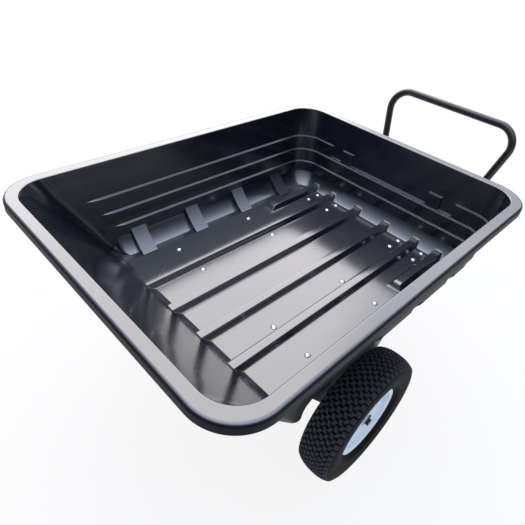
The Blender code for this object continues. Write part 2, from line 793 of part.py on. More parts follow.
def make_handle_bolt(side, side_name, carrier, material):
    top_z = RAIL_Z + RAIL_DIAMETER / 2 + SEAT_GAP
    place = (RAIL_FRONT_X - HANDLE_BOLT_BACK, side * RAIL_Y, top_z)
    grip = RAIL_DIAMETER + SEAT_GAP
    return make_bolt(f"handle_bolt_{side_name}", place, grip, carrier, material)


def make_cross_tube(name, x, carrier, material):
    half = RAIL_Y - RAIL_DIAMETER / 2 - SEAT_GAP
    start = (x, -half, RAIL_Z)
    cross = rod(name, start, 2 * half, CROSS_TUBE_DIAMETER / 2, "Y")
    return seat(cross, material, carrier)


def make_drawbar(carrier, material):
    """The square tube that runs forward to the hitch, open at both ends."""
    half = DRAWBAR_SIZE / 2
    low = (DRAWBAR_REAR_X, -half, DRAWBAR_Z - half)
    high = (DRAWBAR_FRONT_X, half, DRAWBAR_Z + half)
    drawbar = box("drawbar", low, high)
    inside = half - DRAWBAR_SHEET
    low = (DRAWBAR_REAR_X - OVERLAP, -inside, DRAWBAR_Z - inside)
    high = (DRAWBAR_FRONT_X + OVERLAP, inside, DRAWBAR_Z + inside)
    combine(drawbar, box("drawbar_bore", low, high), "DIFFERENCE")
    start = (LATCH_PIVOT_X, -DRAWBAR_SIZE, DRAWBAR_Z)
    radius = BOLT_DIAMETER / 2 + HOLE_CLEARANCE
    combine(drawbar, rod("latch_hole", start, 2 * DRAWBAR_SIZE, radius, "Y", 12), "DIFFERENCE")
    return seat(drawbar, material, carrier)


def make_hitch_clevis(carrier, material):
    """Two plates and a web round the drawbar's front end, with a hole for the hitch pin."""
    half = CLEVIS_WIDTH / 2
    low = (CLEVIS_REAR_X, -half, CLEVIS_BOTTOM_Z)
    clevis = box("hitch_clevis", low, (CLEVIS_FRONT_X, half, CLEVIS_TOP_Z))
    web_rear = DRAWBAR_FRONT_X + SEAT_GAP
    slots = (
        (CLEVIS_REAR_X - OVERLAP, web_rear),
        (web_rear + CLEVIS_SHEET, CLEVIS_FRONT_X + OVERLAP),
    )
    for start, end in slots:
        low = (start, -half - OVERLAP, CLEVIS_BOTTOM_Z + CLEVIS_SHEET)
        high = (end, half + OVERLAP, CLEVIS_TOP_Z - CLEVIS_SHEET)
        combine(clevis, box("clevis_slot", low, high), "DIFFERENCE")
    start = (HITCH_PIN_X, 0, CLEVIS_BOTTOM_Z - OVERLAP)
    length = CLEVIS_TOP_Z - CLEVIS_BOTTOM_Z + 2 * OVERLAP
    radius = HITCH_PIN_DIAMETER / 2 + HOLE_CLEARANCE
    combine(clevis, rod("pin_hole", start, length, radius, "Z"), "DIFFERENCE")
    return seat(clevis, material, carrier)


def make_hitch_pin(carrier, material):
    """A drop pin with a collar that stops on the clevis and a ring to lift it by."""
    radius = HITCH_PIN_DIAMETER / 2
    stop_z = CLEVIS_TOP_Z + SEAT_GAP
    profile = [
        (0, HITCH_PIN_STAND),
        (radius, HITCH_PIN_STAND),
        (radius, 0.005),
        (1.5 * radius, 0.005),
        (1.5 * radius, 0),
        (radius, 0),
        (radius, CLEVIS_BOTTOM_Z - HITCH_PIN_TAIL + radius / 2 - stop_z),
        (radius / 2, CLEVIS_BOTTOM_Z - HITCH_PIN_TAIL - stop_z),
        (0, CLEVIS_BOTTOM_Z - HITCH_PIN_TAIL - stop_z),
    ]
    pin = turned("hitch_pin", profile, (HITCH_PIN_X, 0, stop_z), "Z", ROUND_SIDES, closed=False)
    ring_profile = arc((PIN_RING_RADIUS, 0), PIN_RING_WIRE, 0, -315, 7)
    ring_z = stop_z + HITCH_PIN_STAND + PIN_RING_RADIUS - 2 * PIN_RING_WIRE
    ring = turned("ring", ring_profile, (HITCH_PIN_X, 0, ring_z), "Y", 16, closed=True)
    combine(pin, ring, "UNION")
    return seat(pin, material, carrier)


def latch_side_y():
    return DRAWBAR_SIZE / 2 + LATCH_STANDOFF


def open_latch(item):
    """Swings a piece that was drawn in the hooked place to the released one."""
    place = Vector((LATCH_PIVOT_X, 0, DRAWBAR_Z))
    turn = Matrix.Rotation(LATCH_OPEN_ANGLE, 4, "Y")
    item.data.transform(Matrix.Translation(place) @ turn @ Matrix.Translation(-place))
    return item


def make_latch_lever(carrier, material):
    """A flat lever whose hook reaches over the catch bar, with an arm to press down."""
    bar_x = CATCH_BAR_X - LATCH_PIVOT_X
    bar_radius = CATCH_BAR_DIAMETER / 2 + 2 * HOLE_CLEARANCE
    bar_top = CATCH_BAR_Z - DRAWBAR_Z + bar_radius
    post_rear = bar_x + bar_radius
    post_front = post_rear + LATCH_POST_DEPTH
    hook_tip = bar_x - 0.6 * bar_radius
    outline = [
        (LATCH_ARM_LENGTH, LATCH_ARM_HALF),
        (post_front + 0.012, LATCH_ARM_HALF),
        (post_front, 0.020),
        (post_front, LATCH_HOOK_HEIGHT - 0.006),
        (post_front - 0.006, LATCH_HOOK_HEIGHT),
        (hook_tip + 0.003, LATCH_HOOK_HEIGHT),
        (hook_tip, LATCH_HOOK_HEIGHT - 0.003),
        (hook_tip, bar_top),
        (post_rear, bar_top),
        *arc((0, 0), LATCH_BOSS_RADIUS, 70, 320, 10),
        (LATCH_BOSS_RADIUS + 0.006, -LATCH_ARM_HALF),
        (LATCH_ARM_LENGTH, -LATCH_ARM_HALF),
    ]
    outline = [(LATCH_PIVOT_X + x, DRAWBAR_Z + z) for x, z in outline]
    y = latch_side_y() + LATCH_SHEET / 2
    lever = plate("latch_lever", outline, LATCH_SHEET, "XZ", y)
    start = (LATCH_PIVOT_X, y - LATCH_SHEET, DRAWBAR_Z)
    radius = BOLT_DIAMETER / 2 + HOLE_CLEARANCE
    combine(lever, rod("lever_hole", start, 2 * LATCH_SHEET, radius, "Y", 12), "DIFFERENCE")
    return seat(open_latch(lever), material, carrier)


def make_latch_grip(carrier, material):
    """A moulded sleeve that slips over the lever's arm."""
    x_start = LATCH_PIVOT_X + LATCH_ARM_LENGTH - GRIP_LENGTH
    x_end = LATCH_PIVOT_X + LATCH_ARM_LENGTH + 2 * OVERLAP
    middle = latch_side_y() + LATCH_SHEET / 2
    low = (x_start, middle - GRIP_WIDTH / 2, DRAWBAR_Z - GRIP_HEIGHT / 2)
    high = (x_end, middle + GRIP_WIDTH / 2, DRAWBAR_Z + GRIP_HEIGHT / 2)
    grip = box("latch_grip", low, high)
    half = LATCH_SHEET / 2 + SEAT_GAP
    up = LATCH_ARM_HALF + SEAT_GAP
    low = (x_start - OVERLAP, middle - half, DRAWBAR_Z - up)
    high = (LATCH_PIVOT_X + LATCH_ARM_LENGTH + SEAT_GAP, middle + half, DRAWBAR_Z + up)
    slot = open_latch(box("grip_slot", low, high))
    open_latch(grip)
    edge = grip.modifiers.new("edge", "BEVEL")
    edge.width = 0.004
    edge.segments = 2
    combine(grip, slot, "DIFFERENCE")
    return seat(grip, material, carrier)


def make_latch_bolt(carrier, material):
    """The shouldered bolt through the drawbar that the latch lever turns on."""
    head = BOLT_END_THICKNESS
    shank = BOLT_DIAMETER / 2
    shoulder = NUT_DIAMETER / 2 + OVERLAP
    outer = latch_side_y() + LATCH_SHEET
    start_y = -DRAWBAR_SIZE / 2 - SEAT_GAP
    nut = outer + SEAT_GAP
    profile = [
        (0, nut + head),
        (NUT_DIAMETER / 2, nut + head),
        (NUT_DIAMETER / 2, nut),
        (shank, nut),
        (shank, latch_side_y() - SEAT_GAP),
        (shoulder, latch_side_y() - SEAT_GAP),
        (shoulder, DRAWBAR_SIZE / 2 + SEAT_GAP),
        (shank, DRAWBAR_SIZE / 2 + SEAT_GAP),
        (shank, start_y),
        (NUT_DIAMETER / 2, start_y),
        (NUT_DIAMETER / 2, start_y - head),
        (0, start_y - head),
    ]
    place = (LATCH_PIVOT_X, 0, DRAWBAR_Z)
    bolt = turned("latch_bolt", profile, place, "Y", 12, closed=False)
    return seat(bolt, material, carrier)


def stand_ear_y():
    return STAND_HALF_WIDTH + STAND_BAR_DIAMETER / 2 + OVERLAP + SEAT_GAP


def make_stand_bracket(carrier, material):
    """A folded plate under the drawbar whose ears hold the stand's bolt."""
    sheet = STAND_BRACKET_SHEET
    inner = stand_ear_y()
    outer = inner + sheet
    top_z = DRAWBAR_BOTTOM_Z - SEAT_GAP
    foot_z = STAND_PIVOT_Z - STAND_SLEEVE_DIAMETER / 2
    section = [
        (-outer, foot_z),
        (-outer, top_z),
        (outer, top_z),
        (outer, foot_z),
        (inner, foot_z),
        (inner, top_z - sheet),
        (-inner, top_z - sheet),
        (-inner, foot_z),
    ]
    bracket = plate("stand_bracket", section[::-1], STAND_BRACKET_LENGTH, "YZ", STAND_PIVOT_X)
    start = (STAND_PIVOT_X, -outer - OVERLAP, STAND_PIVOT_Z)
    radius = STAND_BOLT_DIAMETER / 2 + HOLE_CLEARANCE
    length = 2 * (outer + OVERLAP)
    combine(bracket, rod("ear_holes", start, length, radius, "Y", 12), "DIFFERENCE")
    stop_z = STAND_PIVOT_Z - STAND_STOP_DROP
    stop_x = stand_leg_front(stop_z) + SEAT_GAP
    low = (stop_x, -outer, stop_z)
    high = (stop_x + sheet, outer, top_z - sheet / 2)
    combine(bracket, box("stop_plate", low, high), "UNION")
    return seat(bracket, material, carrier)


def stand_leg_front(z):
    """Where the front of the leaning leg lies at a height."""
    run = STAND_RAKE
    rise = STAND_PIVOT_Z - stand_bar_z()
    bar = STAND_BAR_DIAMETER / 2 * sqrt(run * run + rise * rise) / rise
    return STAND_PIVOT_X + run * (STAND_PIVOT_Z - z) / rise + bar


def stand_bar_z():
    return FOOT_SHEET + STAND_BAR_DIAMETER / 2 + SEAT_GAP


def make_stand_bolt(carrier, material):
    shank = STAND_BOLT_DIAMETER / 2
    head = BOLT_END_THICKNESS
    outer = stand_ear_y() + STAND_BRACKET_SHEET + SEAT_GAP
    profile = [
        (0, outer + head),
        (1.7 * shank, outer + head),
        (1.7 * shank, outer),
        (shank, outer),
        (shank, -outer),
        (1.7 * shank, -outer),
        (1.7 * shank, -outer - head),
        (0, -outer - head),
    ]
    place = (STAND_PIVOT_X, 0, STAND_PIVOT_Z)
    bolt = turned("stand_bolt", profile, place, "Y", 12, closed=False)
    return seat(bolt, material, carrier)


def make_stand_leg(carrier, material):
    """A U of round bar under a sleeve, leaning forward so that its load holds it down."""
    foot_z = stand_bar_z()
    foot_x = STAND_PIVOT_X + STAND_RAKE
    corners = [
        (STAND_PIVOT_X, STAND_HALF_WIDTH, STAND_PIVOT_Z),
        (foot_x, STAND_HALF_WIDTH, foot_z),
        (foot_x, -STAND_HALF_WIDTH, foot_z),
        (STAND_PIVOT_X, -STAND_HALF_WIDTH, STAND_PIVOT_Z),
    ]
    path = rounded_path(corners, [STAND_BEND_RADIUS, STAND_BEND_RADIUS], steps=5)
    leg = tube("stand_leg", path, STAND_BAR_DIAMETER / 2, resolution=3)
    half = stand_ear_y() - SEAT_GAP
    start = (STAND_PIVOT_X, -half, STAND_PIVOT_Z)
    radius = STAND_SLEEVE_DIAMETER / 2
    combine(leg, rod("stand_sleeve", start, 2 * half, radius, "Y"), "UNION")
    start = (STAND_PIVOT_X, -half - OVERLAP, STAND_PIVOT_Z)
    bore = STAND_BOLT_DIAMETER / 2 + HOLE_CLEARANCE
    combine(leg, rod("stand_bore", start, 2 * (half + OVERLAP), bore, "Y", 12), "DIFFERENCE")
    return seat(leg, material, carrier)


def make_stand_foot(carrier, material):
    foot_x = STAND_PIVOT_X + STAND_RAKE
    low = (foot_x - FOOT_LENGTH / 2, -FOOT_WIDTH / 2, 0)
    high = (foot_x + FOOT_LENGTH / 2, FOOT_WIDTH / 2, FOOT_SHEET)
    return seat(box("stand_foot", low, high), material, carrier)


def make_axle(carrier, material):
    half = WHEEL_Y + AXLE_END_REACH
    start = (AXLE_X, -half, AXLE_Z)
    axle = rod("axle", start, 2 * half, AXLE_DIAMETER / 2, "Y", 24)
    radius = COTTER_DIAMETER / 2 + HOLE_CLEARANCE
    starts = [(AXLE_X, y, AXLE_Z - AXLE_DIAMETER) for y in (cotter_y(), -cotter_y())]
    holes = rods("cotter_holes", starts, 2 * AXLE_DIAMETER, radius, "Z", 8)
    combine(axle, holes, "DIFFERENCE")
    return seat(axle, material, carrier)


def hub_outer_y():
    return WHEEL_Y + HUB_LENGTH / 2 + BUSH_FLANGE + SEAT_GAP


def cotter_y():
    return hub_outer_y() + SEAT_GAP + WASHER_THICKNESS + SEAT_GAP + COTTER_DIAMETER / 2


def collar_profile(outer, inner, low, high):
    """The closed section of a plain ring that is turned about its bore."""
    return [(outer, high), (outer, low), (inner, low), (inner, high)]


def make_axle_fittings(side, side_name, carrier, steel, zinc, black):
    """The spacer inside the wheel, and the washer and cotter pin that keep it on."""
    bore = AXLE_DIAMETER / 2 + HOLE_CLEARANCE
    inner_end = SUPPORT_OUTER_Y + SEAT_GAP
    wheel_end = WHEEL_Y - HUB_LENGTH / 2 - BUSH_FLANGE - SEAT_GAP - SEAT_GAP
    place = (AXLE_X, 0, AXLE_Z)
    low, high = sorted((side * inner_end, side * wheel_end))
    profile = collar_profile(HUB_DIAMETER / 2 - OVERLAP, bore, low, high)
    spacer = turned(f"axle_spacer_{side_name}", profile, place, "Y", ROUND_SIDES, closed=True)
    seat(spacer, steel, carrier)
    washer_start = hub_outer_y() + SEAT_GAP
    low, high = sorted((side * washer_start, side * (washer_start + WASHER_THICKNESS)))
    profile = collar_profile(WASHER_DIAMETER / 2, bore, low, high)
    washer = turned(f"axle_washer_{side_name}", profile, place, "Y", ROUND_SIDES, closed=True)
    seat(washer, zinc, carrier)
    pin_y = side * cotter_y()
    start = (AXLE_X, pin_y, AXLE_Z - COTTER_LENGTH / 2)
    pin = rod(f"cotter_pin_{side_name}", start, COTTER_LENGTH, COTTER_DIAMETER / 2, "Z", 8)
    eye_profile = arc((COTTER_EYE_RADIUS, 0), COTTER_DIAMETER / 2, 0, -300, 5)
    eye_z = AXLE_Z + COTTER_LENGTH / 2 + COTTER_EYE_RADIUS - COTTER_DIAMETER / 4
    eye = turned("eye", eye_profile, (AXLE_X, pin_y, eye_z), "Y", 12, closed=True)
    combine(pin, eye, "UNION")
    seat(pin, black, carrier)


def tyre_profile():
    """The section of the tyre, open between its beads, from the outer tread round."""
    half = TYRE_WIDTH / 2
    crown = TYRE_DIAMETER / 2
    bead = BEAD_DIAMETER / 2 + 0.001
    bead_face = RIM_WIDTH / 2 - RIM_SHEET - 2 * SEAT_GAP
    outside = [
        (crown, 0.50 * half),
        (crown - 0.008, 0.84 * half),
        (crown - 0.040, half),
        (bead + 0.026, 0.90 * half),
        (RIM_FLANGE_DIAMETER / 2 + 0.001, bead_face),
        (bead, bead_face - 0.003),
    ]
    inside = [
        (bead, bead_face - 0.012),
        (bead + 0.028, 0.76 * half),
        (crown - 0.042, 0.86 * half),
        (crown - 0.016, 0.55 * half),
    ]
    outer_side = outside + inside
    inner_side = [(radius, -across) for radius, across in reversed(outer_side)]
    return outer_side + inner_side


def rim_profile():
    """The section of the pressed steel rim and its dished disc."""
    flange = RIM_FLANGE_DIAMETER / 2
    seat_radius = BEAD_DIAMETER / 2
    half = RIM_WIDTH / 2
    well = seat_radius - 0.0145
    hub = HUB_DIAMETER / 2 + SEAT_GAP
    sheet = RIM_SHEET
    return [
        (flange, half),
        (flange, half - sheet),
        (seat_radius, half - 0.0045),
        (seat_radius - 0.0015, half - 0.017),
        (well, half - 0.023),
        (well, 0.023 - half),
        (seat_radius - 0.0015, 0.017 - half),
        (seat_radius, 0.0045 - half),
        (flange, sheet - half),
        (flange, -half),
        (seat_radius - sheet, 0.0015 - half),
        (seat_radius - sheet - 0.0015, 0.016 - half),
        (well - sheet, 0.0215 - half),
        (well - sheet, 0.001),
        (0.6 * well, 0.004),
        (hub, 0.016),
        (hub, 0.016 + sheet),
        (0.6 * well, 0.004 + sheet),
        (well - sheet, 0.001 + sheet),
        (well - sheet, half - 0.0215),
        (seat_radius - sheet - 0.0015, half - 0.016),
        (seat_radius - sheet, half - 0.0015),
    ]


def bush_profile():
    """A flanged plain bearing that fills one end of the hub, flange outward."""
    bore = AXLE_DIAMETER / 2 + HOLE_CLEARANCE
    body = BUSH_DIAMETER / 2
    flange = HUB_DIAMETER / 2
    end = HUB_LENGTH / 2 + SEAT_GAP
    return [
        (flange, end + BUSH_FLANGE),
        (flange, end),
        (body, end),
        (body, end - BUSH_LENGTH),
        (bore, end - BUSH_LENGTH),
        (bore, end + BUSH_FLANGE),
    ]


def mirrored(profile, side):
    """A turned section for the left side, or the same seen in a mirror for the right."""
    return [(radius, side * height) for radius, height in profile]


def make_wheel(side, side_name, carrier, rubber, white, nylon):
    place = (AXLE_X, side * WHEEL_Y, AXLE_Z)
    tyre = turned(f"tyre_{side_name}", tyre_profile(), place, "Y", TYRE_SIDES, closed=True)
    seat(tyre, rubber, carrier)
    profile = mirrored(rim_profile(), side)
    rim = turned(f"wheel_rim_{side_name}", profile, place, "Y", RIM_SIDES, closed=True)
    combine(rim, valve_rod("valve_hole", side, HOLE_CLEARANCE), "DIFFERENCE")
    seat(rim, white, carrier)
    hub_bore = BUSH_DIAMETER / 2 + SEAT_GAP
    profile = collar_profile(HUB_DIAMETER / 2, hub_bore, -HUB_LENGTH / 2, HUB_LENGTH / 2)
    hub = turned(f"hub_{side_name}", profile, place, "Y", HUB_SIDES, closed=True)
    seat(hub, white, carrier)
    for end, end_name in ((side, "outer"), (-side, "inner")):
        title = f"wheel_bush_{end_name}_{side_name}"
        profile = mirrored(bush_profile(), end)
        bush = turned(title, profile, place, "Y", ROUND_SIDES, closed=True)
        seat(bush, nylon, carrier)
    seat(valve_rod(f"valve_{side_name}", side, 0.0), rubber, carrier)


def valve_rod(name, side, clearance):
    """The valve stem runs inward through the rim's well, on the outer side of its disc."""
    start = (AXLE_X, side * (WHEEL_Y + VALVE_OFFSET), AXLE_Z - VALVE_FOOT_RADIUS)
    radius = VALVE_DIAMETER / 2 + clearance
    return rod(name, start, VALVE_LENGTH, radius, "Z", BOLT_SIDES)


def make_undercarriage(carrier, black, zinc, steel):
    make_axle(carrier, black)
    make_cross_tube("rear_cross_tube", REAR_CROSS_X, carrier, black)
    make_cross_tube("front_cross_tube", FRONT_CROSS_X, carrier, black)
    make_drawbar(carrier, black)
    make_hitch_clevis(carrier, black)
    make_stand_bracket(carrier, black)
    make_stand_bolt(carrier, zinc)
    make_latch_bolt(carrier, zinc)
    make_handle(carrier, black)
    for side, side_name in SIDES:
        make_frame_rail(side, side_name, carrier, black)
        make_handle_bolt(side, side_name, carrier, zinc)
        make_axle_fittings(side, side_name, carrier, steel, zinc, black)


def make_tipping_body(carrier, plastic, black, chrome):
    make_tub(carrier, plastic)
    make_floor_bolts(carrier, chrome)
    make_catch_bar(carrier, black)
    for side, side_name in SIDES:
        make_axle_support(side, side_name, carrier, black)
        make_rest_plate(side, side_name, carrier, black)


clear_scene()
PARTS = new_collection("garden_tractor_trailer")
CUTTERS = new_collection("cutters")
SIDES = ((1, "left"), (-1, "right"))

TRAILER = pivot("trailer", (0, 0, 0))
TRAILER.location.x = -BOX_CENTRE_X
tub_axis = pivot("tub_axis", (AXLE_X, 0, AXLE_Z), TRAILER)
latch_axis = pivot("latch_axis", (LATCH_PIVOT_X, 0, DRAWBAR_Z), TRAILER)
stand_axis = pivot("stand_axis", (STAND_PIVOT_X, 0, STAND_PIVOT_Z), TRAILER)
pin_axis = pivot("pin_axis", (HITCH_PIN_X, 0, CLEVIS_TOP_Z), TRAILER)

tub_plastic = paint("tub_plastic", (0.012, 0.013, 0.016), 0.2, 0.0)
black_steel = paint("black_steel", (0.015, 0.015, 0.017), 0.35, 0.0)
bright_zinc = paint("bright_zinc", (0.62, 0.63, 0.65), 0.25, 1.0)
polished_chrome = paint("polished_chrome", (0.80, 0.81, 0.83), 0.08, 1.0)
plain_steel = paint("plain_steel", (0.30, 0.30, 0.31), 0.4, 1.0)
pale_enamel = paint("pale_enamel", (0.78, 0.80, 0.84), 0.3, 0.0)
black_rubber = paint("black_rubber", (0.02, 0.02, 0.02), 0.75, 0.0)
dark_nylon = paint("dark_nylon", (0.03, 0.03, 0.03), 0.5, 0.0)
pale_nylon = paint("pale_nylon", (0.70, 0.71, 0.72), 0.45, 0.0)

make_tipping_body(tub_axis, tub_plastic, black_steel, polished_chrome)
make_undercarriage(TRAILER, black_steel, bright_zinc, plain_steel)
for side, side_name in SIDES:
    wheel_axis = pivot(f"wheel_axis_{side_name}", (AXLE_X, side * WHEEL_Y, AXLE_Z), TRAILER)
    make_wheel(side, side_name, wheel_axis, black_rubber, pale_enamel, pale_nylon)
make_latch_lever(latch_axis, black_steel)
make_latch_grip(latch_axis, dark_nylon)
make_stand_leg(stand_axis, black_steel)
make_stand_foot(stand_axis, black_steel)
make_hitch_pin(pin_axis, bright_zinc)
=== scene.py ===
# %% [markdown]
# # Dressing a garden tractor trailer
# The packed CAD model gives every size and every joint of the trailer. This lesson puts the looks
# on it: a finely moulded tub, turf tyres, enamelled wheels, bright bolts and a satin handle, in
# soft studio light. The first step loads the frame. The dressed model has to stay inside it.

import json
from math import cos, pi, radians, sin

import bmesh
import bpy
import numpy as np
from mathutils import Matrix, Vector


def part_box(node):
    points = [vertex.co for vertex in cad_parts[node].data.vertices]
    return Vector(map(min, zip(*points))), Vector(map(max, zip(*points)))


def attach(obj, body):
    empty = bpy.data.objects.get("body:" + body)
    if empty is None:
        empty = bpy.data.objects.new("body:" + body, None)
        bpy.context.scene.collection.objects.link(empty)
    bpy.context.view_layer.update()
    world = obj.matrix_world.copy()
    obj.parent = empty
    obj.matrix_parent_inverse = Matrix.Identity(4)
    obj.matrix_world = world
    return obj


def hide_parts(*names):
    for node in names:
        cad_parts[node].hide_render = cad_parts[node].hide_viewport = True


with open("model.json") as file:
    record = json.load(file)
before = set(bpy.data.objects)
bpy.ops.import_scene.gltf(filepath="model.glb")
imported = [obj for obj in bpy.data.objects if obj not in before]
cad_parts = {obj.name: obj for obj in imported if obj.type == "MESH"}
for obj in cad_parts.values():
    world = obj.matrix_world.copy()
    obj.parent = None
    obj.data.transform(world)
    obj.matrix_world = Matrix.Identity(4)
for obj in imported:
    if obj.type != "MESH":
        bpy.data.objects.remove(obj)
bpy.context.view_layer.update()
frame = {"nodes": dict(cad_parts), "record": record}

# %% [markdown]
# ## Where things are
# Sizes come from the CAD nodes' boxes. The tub's box gives the middle of its opening, the height
# of its rim and the plane its skirt hangs from. The axle's box gives the wheels' centre.

# %% Read the main places
tub_low, tub_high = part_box("tub")
axle_low, axle_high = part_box("axle")
TUB_X = (tub_low.x + tub_high.x) / 2
RIM_Z = tub_high.z
AXLE = Vector(((axle_low.x + axle_high.x) / 2, 0, (axle_low.z + axle_high.z) / 2))
print(f"opening centre x {TUB_X:.4f}, rim {RIM_Z:.3f} m high, axle at {AXLE.x:.4f}, {AXLE.z:.4f}")

# %% The tub's rim, walls and floor
RIM_OUT, SKIRT_DROP, EDGE_RADIUS, LIP_RADIUS = 0.032, 0.025, 0.008, 0.003
HALF_LENGTH = (tub_high.x - tub_low.x) / 2 - RIM_OUT
HALF_WIDTH = (tub_high.y - tub_low.y) / 2 - RIM_OUT
TUB_DEPTH = 0.278
FLOOR_Z = RIM_Z - TUB_DEPTH
WALL = 0.0035
SIDE_DRAFT, FRONT_DRAFT, TAIL_DRAFT = 0.074, 0.024, 0.80
TOP_RADIUS, OUTER_RADIUS = 0.077, 0.102
FRONT_FLOOR_RADIUS = 0.090
TAIL_FLOOR_RADIUS = 0.030
LEDGE = 0.0065
CORNER_POINTS = 22
TAIL_STRAIGHT_POINTS = 5
FLOOR_RINGS = 14
Y_CORE = HALF_WIDTH - SIDE_DRAFT * TUB_DEPTH - FRONT_FLOOR_RADIUS
X_TAIL_CORE = -HALF_LENGTH + TAIL_DRAFT * TUB_DEPTH + TAIL_FLOOR_RADIUS
X_FRONT_CORE = HALF_LENGTH - FRONT_DRAFT * TUB_DEPTH - FRONT_FLOOR_RADIUS
print(f"flat of the floor: x {X_TAIL_CORE:.3f} to {X_FRONT_CORE:.3f}, y up to {Y_CORE:.3f}")

# %% The coves, ribs and straps
# Each cove has a width, a height and the power of its curve.
SIDE_COVE, FRONT_COVE, TAIL_COVE = (0.039, 0.046, 2.0), (0.038, 0.045, 1.9), (0.012, 0.014, 1.7)
LOBE_X, LOBE_ROUND, LOBE_NOSE = -0.282, 0.016, 0.012
RIB_LINES = (-0.263, -0.178, -0.059, 0.0605, 0.180, 0.264)
RIB_HALF_FOOT, RIB_HEIGHT, RIB_TILT = 0.018, 0.0180, 0.035
RIB_SIDE, RIB_BACK = 0.005, 0.0058
RIB_FOOT_FILLET, RIB_TOP_ROUND, RIB_WALL_FILLET = 0.016, 0.010, 0.006
SHORT_RIB_START, RIB_END = 0.239, 0.510
FAR_NOSE_SLOPE, NEAR_NOSE_SLOPE = 0.4, 0.9
STRAP_LINES = (-0.227, -0.031, 0.166, 0.357)
STRAP_HALF, STRAP_TOP, STRAP_BOW, STRAP_EDGE = 0.025, 0.216, 0.004, 0.0009
STRAP_FOOT_RING, STRAP_FOOT_RISE = 9, 0.0025
SIDE_FOOT_Y = HALF_WIDTH - SIDE_DRAFT * TUB_DEPTH - 3 * LEDGE - SIDE_COVE[0]
STRAP_FOOT_Y = SIDE_FOOT_Y - (SIDE_FOOT_Y - Y_CORE) * STRAP_FOOT_RING / FLOOR_RINGS
print(f"straps reach the floor {STRAP_FOOT_Y:.4f} m from the middle")


# %% [markdown]
# ## The camera
# A lens position was fitted to the straight edges of the tub in the photograph. The fit gives
# lengths in units of the opening's half width, an azimuth round the object, an elevation, a
# little roll, and an optical centre that lies slightly above the picture's centre.

# %% Place the camera
OPENING_HALF_WIDTH = 0.400
PICTURE = 525
FOCAL_PIXELS = 457.6
OPTICAL_CENTRE_V = 247.0
AZIMUTH, ELEVATION, ROLL = radians(-48.32), radians(36.97), radians(7.0)
DISTANCE = 2.470 * OPENING_HALF_WIDTH
LOOK_AT = Vector((-0.531, -0.320, 0)) * OPENING_HALF_WIDTH + Vector((TUB_X, 0, RIM_Z))


def make_camera():
    back = Vector(
        (
            sin(AZIMUTH) * cos(ELEVATION),
            -cos(AZIMUTH) * cos(ELEVATION),
            sin(ELEVATION),
        )
    )
    level_right = (-back).cross(Vector((0, 0, 1))).normalized()
    level_up = level_right.cross(-back)
    right = level_right * cos(ROLL) + level_up * sin(ROLL)
    up = level_up * cos(ROLL) - level_right * sin(ROLL)
    data = bpy.data.cameras.new("camera")
    data.sensor_fit = "HORIZONTAL"
    data.sensor_width = 36
    data.lens = 36 * FOCAL_PIXELS / PICTURE
    data.shift_y = (OPTICAL_CENTRE_V - PICTURE / 2) / PICTURE
    data.clip_start = 0.05
    camera = bpy.data.objects.new("camera", data)
    bpy.context.scene.collection.objects.link(camera)
    turn = Matrix((right, up, back)).transposed().to_4x4()
    camera.matrix_world = Matrix.Translation(LOOK_AT + back * DISTANCE) @ turn
    bpy.context.scene.camera = camera
    return camera


camera = make_camera()
print("camera at", [round(value, 3) for value in camera.matrix_world.translation])

# %% [markdown]
# ## Writing shader sums as Python
# A shader's arithmetic is easier to read as an expression than as a net of nodes. A `Signal` is
# one output socket; adding, multiplying or subtracting signals and numbers adds the Math node
# that does it. `node` adds any other kind of node.


# %% A signal class
def feed(socket, value):
    if isinstance(value, Signal):
        socket.id_data.links.new(value.socket, socket)
    else:
        socket.default_value = value


